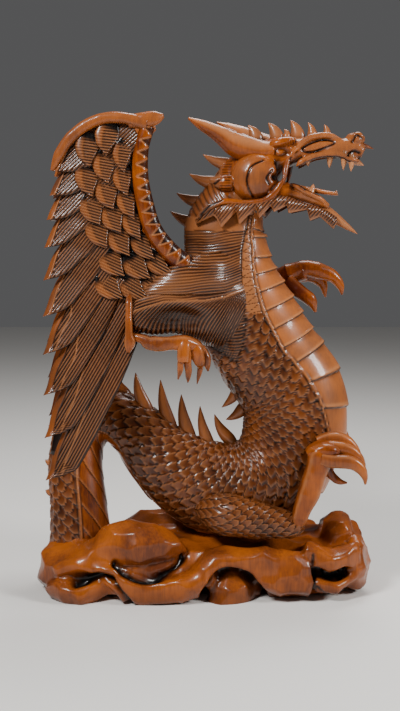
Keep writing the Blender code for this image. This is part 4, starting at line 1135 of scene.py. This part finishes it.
rock = {
    "masses": [
        [(-151, 2, 26, 18, 30), (-140, 0, 24, 26, 46), (-105, 0, 23, 28, 56), (-50, 0, 22, 29, 58),
         (10, 4, 22, 30, 54), (70, 4, 22, 30, 54), (120, 4, 24, 29, 50), (142, 4, 27, 24, 38),
         (151, 4, 28, 15, 22)],
        [(-19, -42, 44, 3, 5), (-34, -43, 51, 13, 15), (-56, -43, 53, 19, 21), (-78, -41, 53, 21, 21),
         (-98, -39, 42, 16, 20), (-120, -38, 33, 12, 18), (-138, -34, 27, 8, 16)],
        [(-102, -50, 38, 8, 9), (-84, -55, 24, 11, 11), (-62, -58, 14, 13, 11), (-30, -58, 13, 12, 11),
         (-8, -56, 20, 14, 12), (8, -52, 36, 11, 13), (26, -50, 41, 10, 14), (46, -50, 37, 14, 14),
         (64, -50, 28, 22, 14), (84, -50, 26, 22, 14), (97, -48, 25, 21, 13)],
        [(92, -46, 48, 7, 12), (106, -47, 40, 11, 13), (118, -46, 37, 10, 13), (130, -42, 38, 11, 12),
         (140, -36, 40, 10, 12)],
        [(98, -44, 16, 8, 12), (106, -47, 15, 8, 12), (118, -47, 14, 8, 12), (130, -42, 18, 8, 12),
         (140, -34, 26, 9, 14)],
    ],
    "lumps": [((-118, -42, 11), (32, 24, 15), -4), ((22.5, -46, 4), (22.5, 17, 23), 0),
              ((141, -14, 27), (15, 34, 27), 0), ((125, -6, 53), (15, 26, 22), 38),
              ((134, 6, 42), (17, 34, 22), 20),
              ((-40, 34, 44), (52, 26, 24), -4), ((-122, 0, 34), (32, 38, 20), 0),
              ((70, 42, 40), (46, 18, 20), 0)],
    # cuts as their line in the side view, width and depth
    "cuts": [([(-84, 37), (-75, 29), (-61, 24), (-46, 25), (-30, 32), (-20, 41)], 2.6, 6),
             ([(-120, 21), (-108, 24), (-98, 26), (-88, 25)], 4.2, 9),
             ([(-88, 25), (-80, 16), (-72, 7), (-66, 0)], 2.0, 5),
             ([(-2.5, 0), (0, 10), (5, 20), (13.5, 28.5), (24.5, 31.5), (36, 28), (47, 17), (54, 5),
               (56, 0)], 2.6, 9),
             ([(99.5, 46), (99, 36), (101, 24), (100, 8)], 1.4, 3),
             ([(104, 29), (111, 25.5), (120, 25), (130, 28.5)], 3.2, 9),
             ([(104, 16), (110, 9.5), (120, 7), (130, 11)], 1.2, 2)],
    "backCuts": [([(-120, 30), (-80, 20), (-30, 26), (10, 16), (60, 30), (110, 22)], 2.4, 5),
                 ([(-60, 50), (-40, 36), (0, 40), (30, 52)], 2.0, 4)],
    "facets": 19, "facetDepth": 6.5, "facetStretch": (0.8, 1, 1.2), "voxel": 1.9, "soften": 1,
}


def addRock():
    parts = [carve(loft(rows, 100, 56, square=0.85)) for rows in rock["masses"]]
    parts += [carve(ball(centre, radii, tilt, 44, 44)) for centre, radii, tilt in rock["lumps"]]

    def relief(points, normals, hollow):
        height = gougeMarks(points * rock["facetStretch"], rock["facets"], rock["facetDepth"])
        # darker in the skin's hollows: stain gathered there and painted shade
        cut = stepUp(hollow, 0.5, 2.2) * 0.9
        engrave(points, (height, cut), rock["cuts"], points[:, 1] < -22)
        engrave(points, (height, cut), rock["backCuts"], points[:, 1] > 30)
        # darker towards the floor: painted shade
        lowShade = 0.35 * stepUp(-points[:, 2], -20, -2)
        return height, np.maximum(cut, lowShade), np.ones(len(points)), 0.1 * (1 - cut)

    skin = weld("rock_base", parts, rock["voxel"], rock["soften"], relief)
    skin["points"][:, 2] = np.maximum(skin["points"][:, 2], 0)  # cut flat below
    addPiece("rock_base", [skin])


addRock()


# Floor, light and camera

studio = {
    "floorHalf": 3.0, "floor": "#E4E1DC", "floorRoughness": 0.8, "sky": "#E6E6E8", "skyStrength": 0.12,
    # place, width in m and power in W of each softbox
    "lights": {"keySoftbox": ((-0.65, -0.85, 1.15), 0.3, 22), "sideSoftbox": ((1.05, -0.5, 0.75), 0.3, 13),
               "topSoftbox": ((0.2, 0.5, 1.3), 0.6, 12)},
    "aim": (0, 0, 0.23),
    "camera": (-0.005, -1.10, 0.345), "cameraDown": 6.22, "lens": 58.5, "sensor": 36,
}


def addFloor():
    size = studio["floorHalf"]
    mesh = bpy.data.meshes.new("floor")
    mesh.from_pydata([(-size, -size, 0), (size, -size, 0), (size, size, 0), (-size, size, 0)], [],
                     [(0, 1, 2, 3)])
    paint = bpy.data.materials.new("matPaintedBoard")  # chalky and even, so it takes a soft shadow
    paint.use_nodes = True
    shader = paint.node_tree.nodes["Principled BSDF"]
    shader.inputs["Base Color"].default_value = linear(studio["floor"])
    shader.inputs["Roughness"].default_value = studio["floorRoughness"]
    mesh.materials.append(paint)
    floor = placed("floor", mesh)


def addLight(name, place, size, power):
    lamp = bpy.data.lights.new(name, "AREA")
    lamp.shape = "RECTANGLE"
    lamp.size = size
    lamp.size_y = size
    lamp.energy = power
    light = placed(name, lamp)
    light.location = place
    aim = np.array(studio["aim"]) - np.array(place)
    flat = math.hypot(aim[0], aim[1])
    light.rotation_euler = (math.atan2(flat, -aim[2]), 0, math.atan2(-aim[0], aim[1]))


def addSky():
    world = bpy.data.worlds.new("studio")
    bpy.context.scene.world = world
    world.use_nodes = True
    background = world.node_tree.nodes["Background"]
    background.inputs["Color"].default_value = linear(studio["sky"])
    background.inputs["Strength"].default_value = studio["skyStrength"]


def addCamera():
    # at the photograph's angle: level with the neck and looking down a little
    data = bpy.data.cameras.new("camera")
    data.lens = studio["lens"]
    data.sensor_width = studio["sensor"]
    camera = placed("camera", data)
    camera.location = studio["camera"]
    camera.rotation_euler = (math.radians(90 - studio["cameraDown"]), 0, 0)
    bpy.context.scene.camera = camera


addFloor()
for name, (place, size, power) in studio["lights"].items():
    addLight(name, place, size, power)
addSky()
addCamera()

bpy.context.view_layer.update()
print(f"scene made in {time.time() - started:.0f} s")
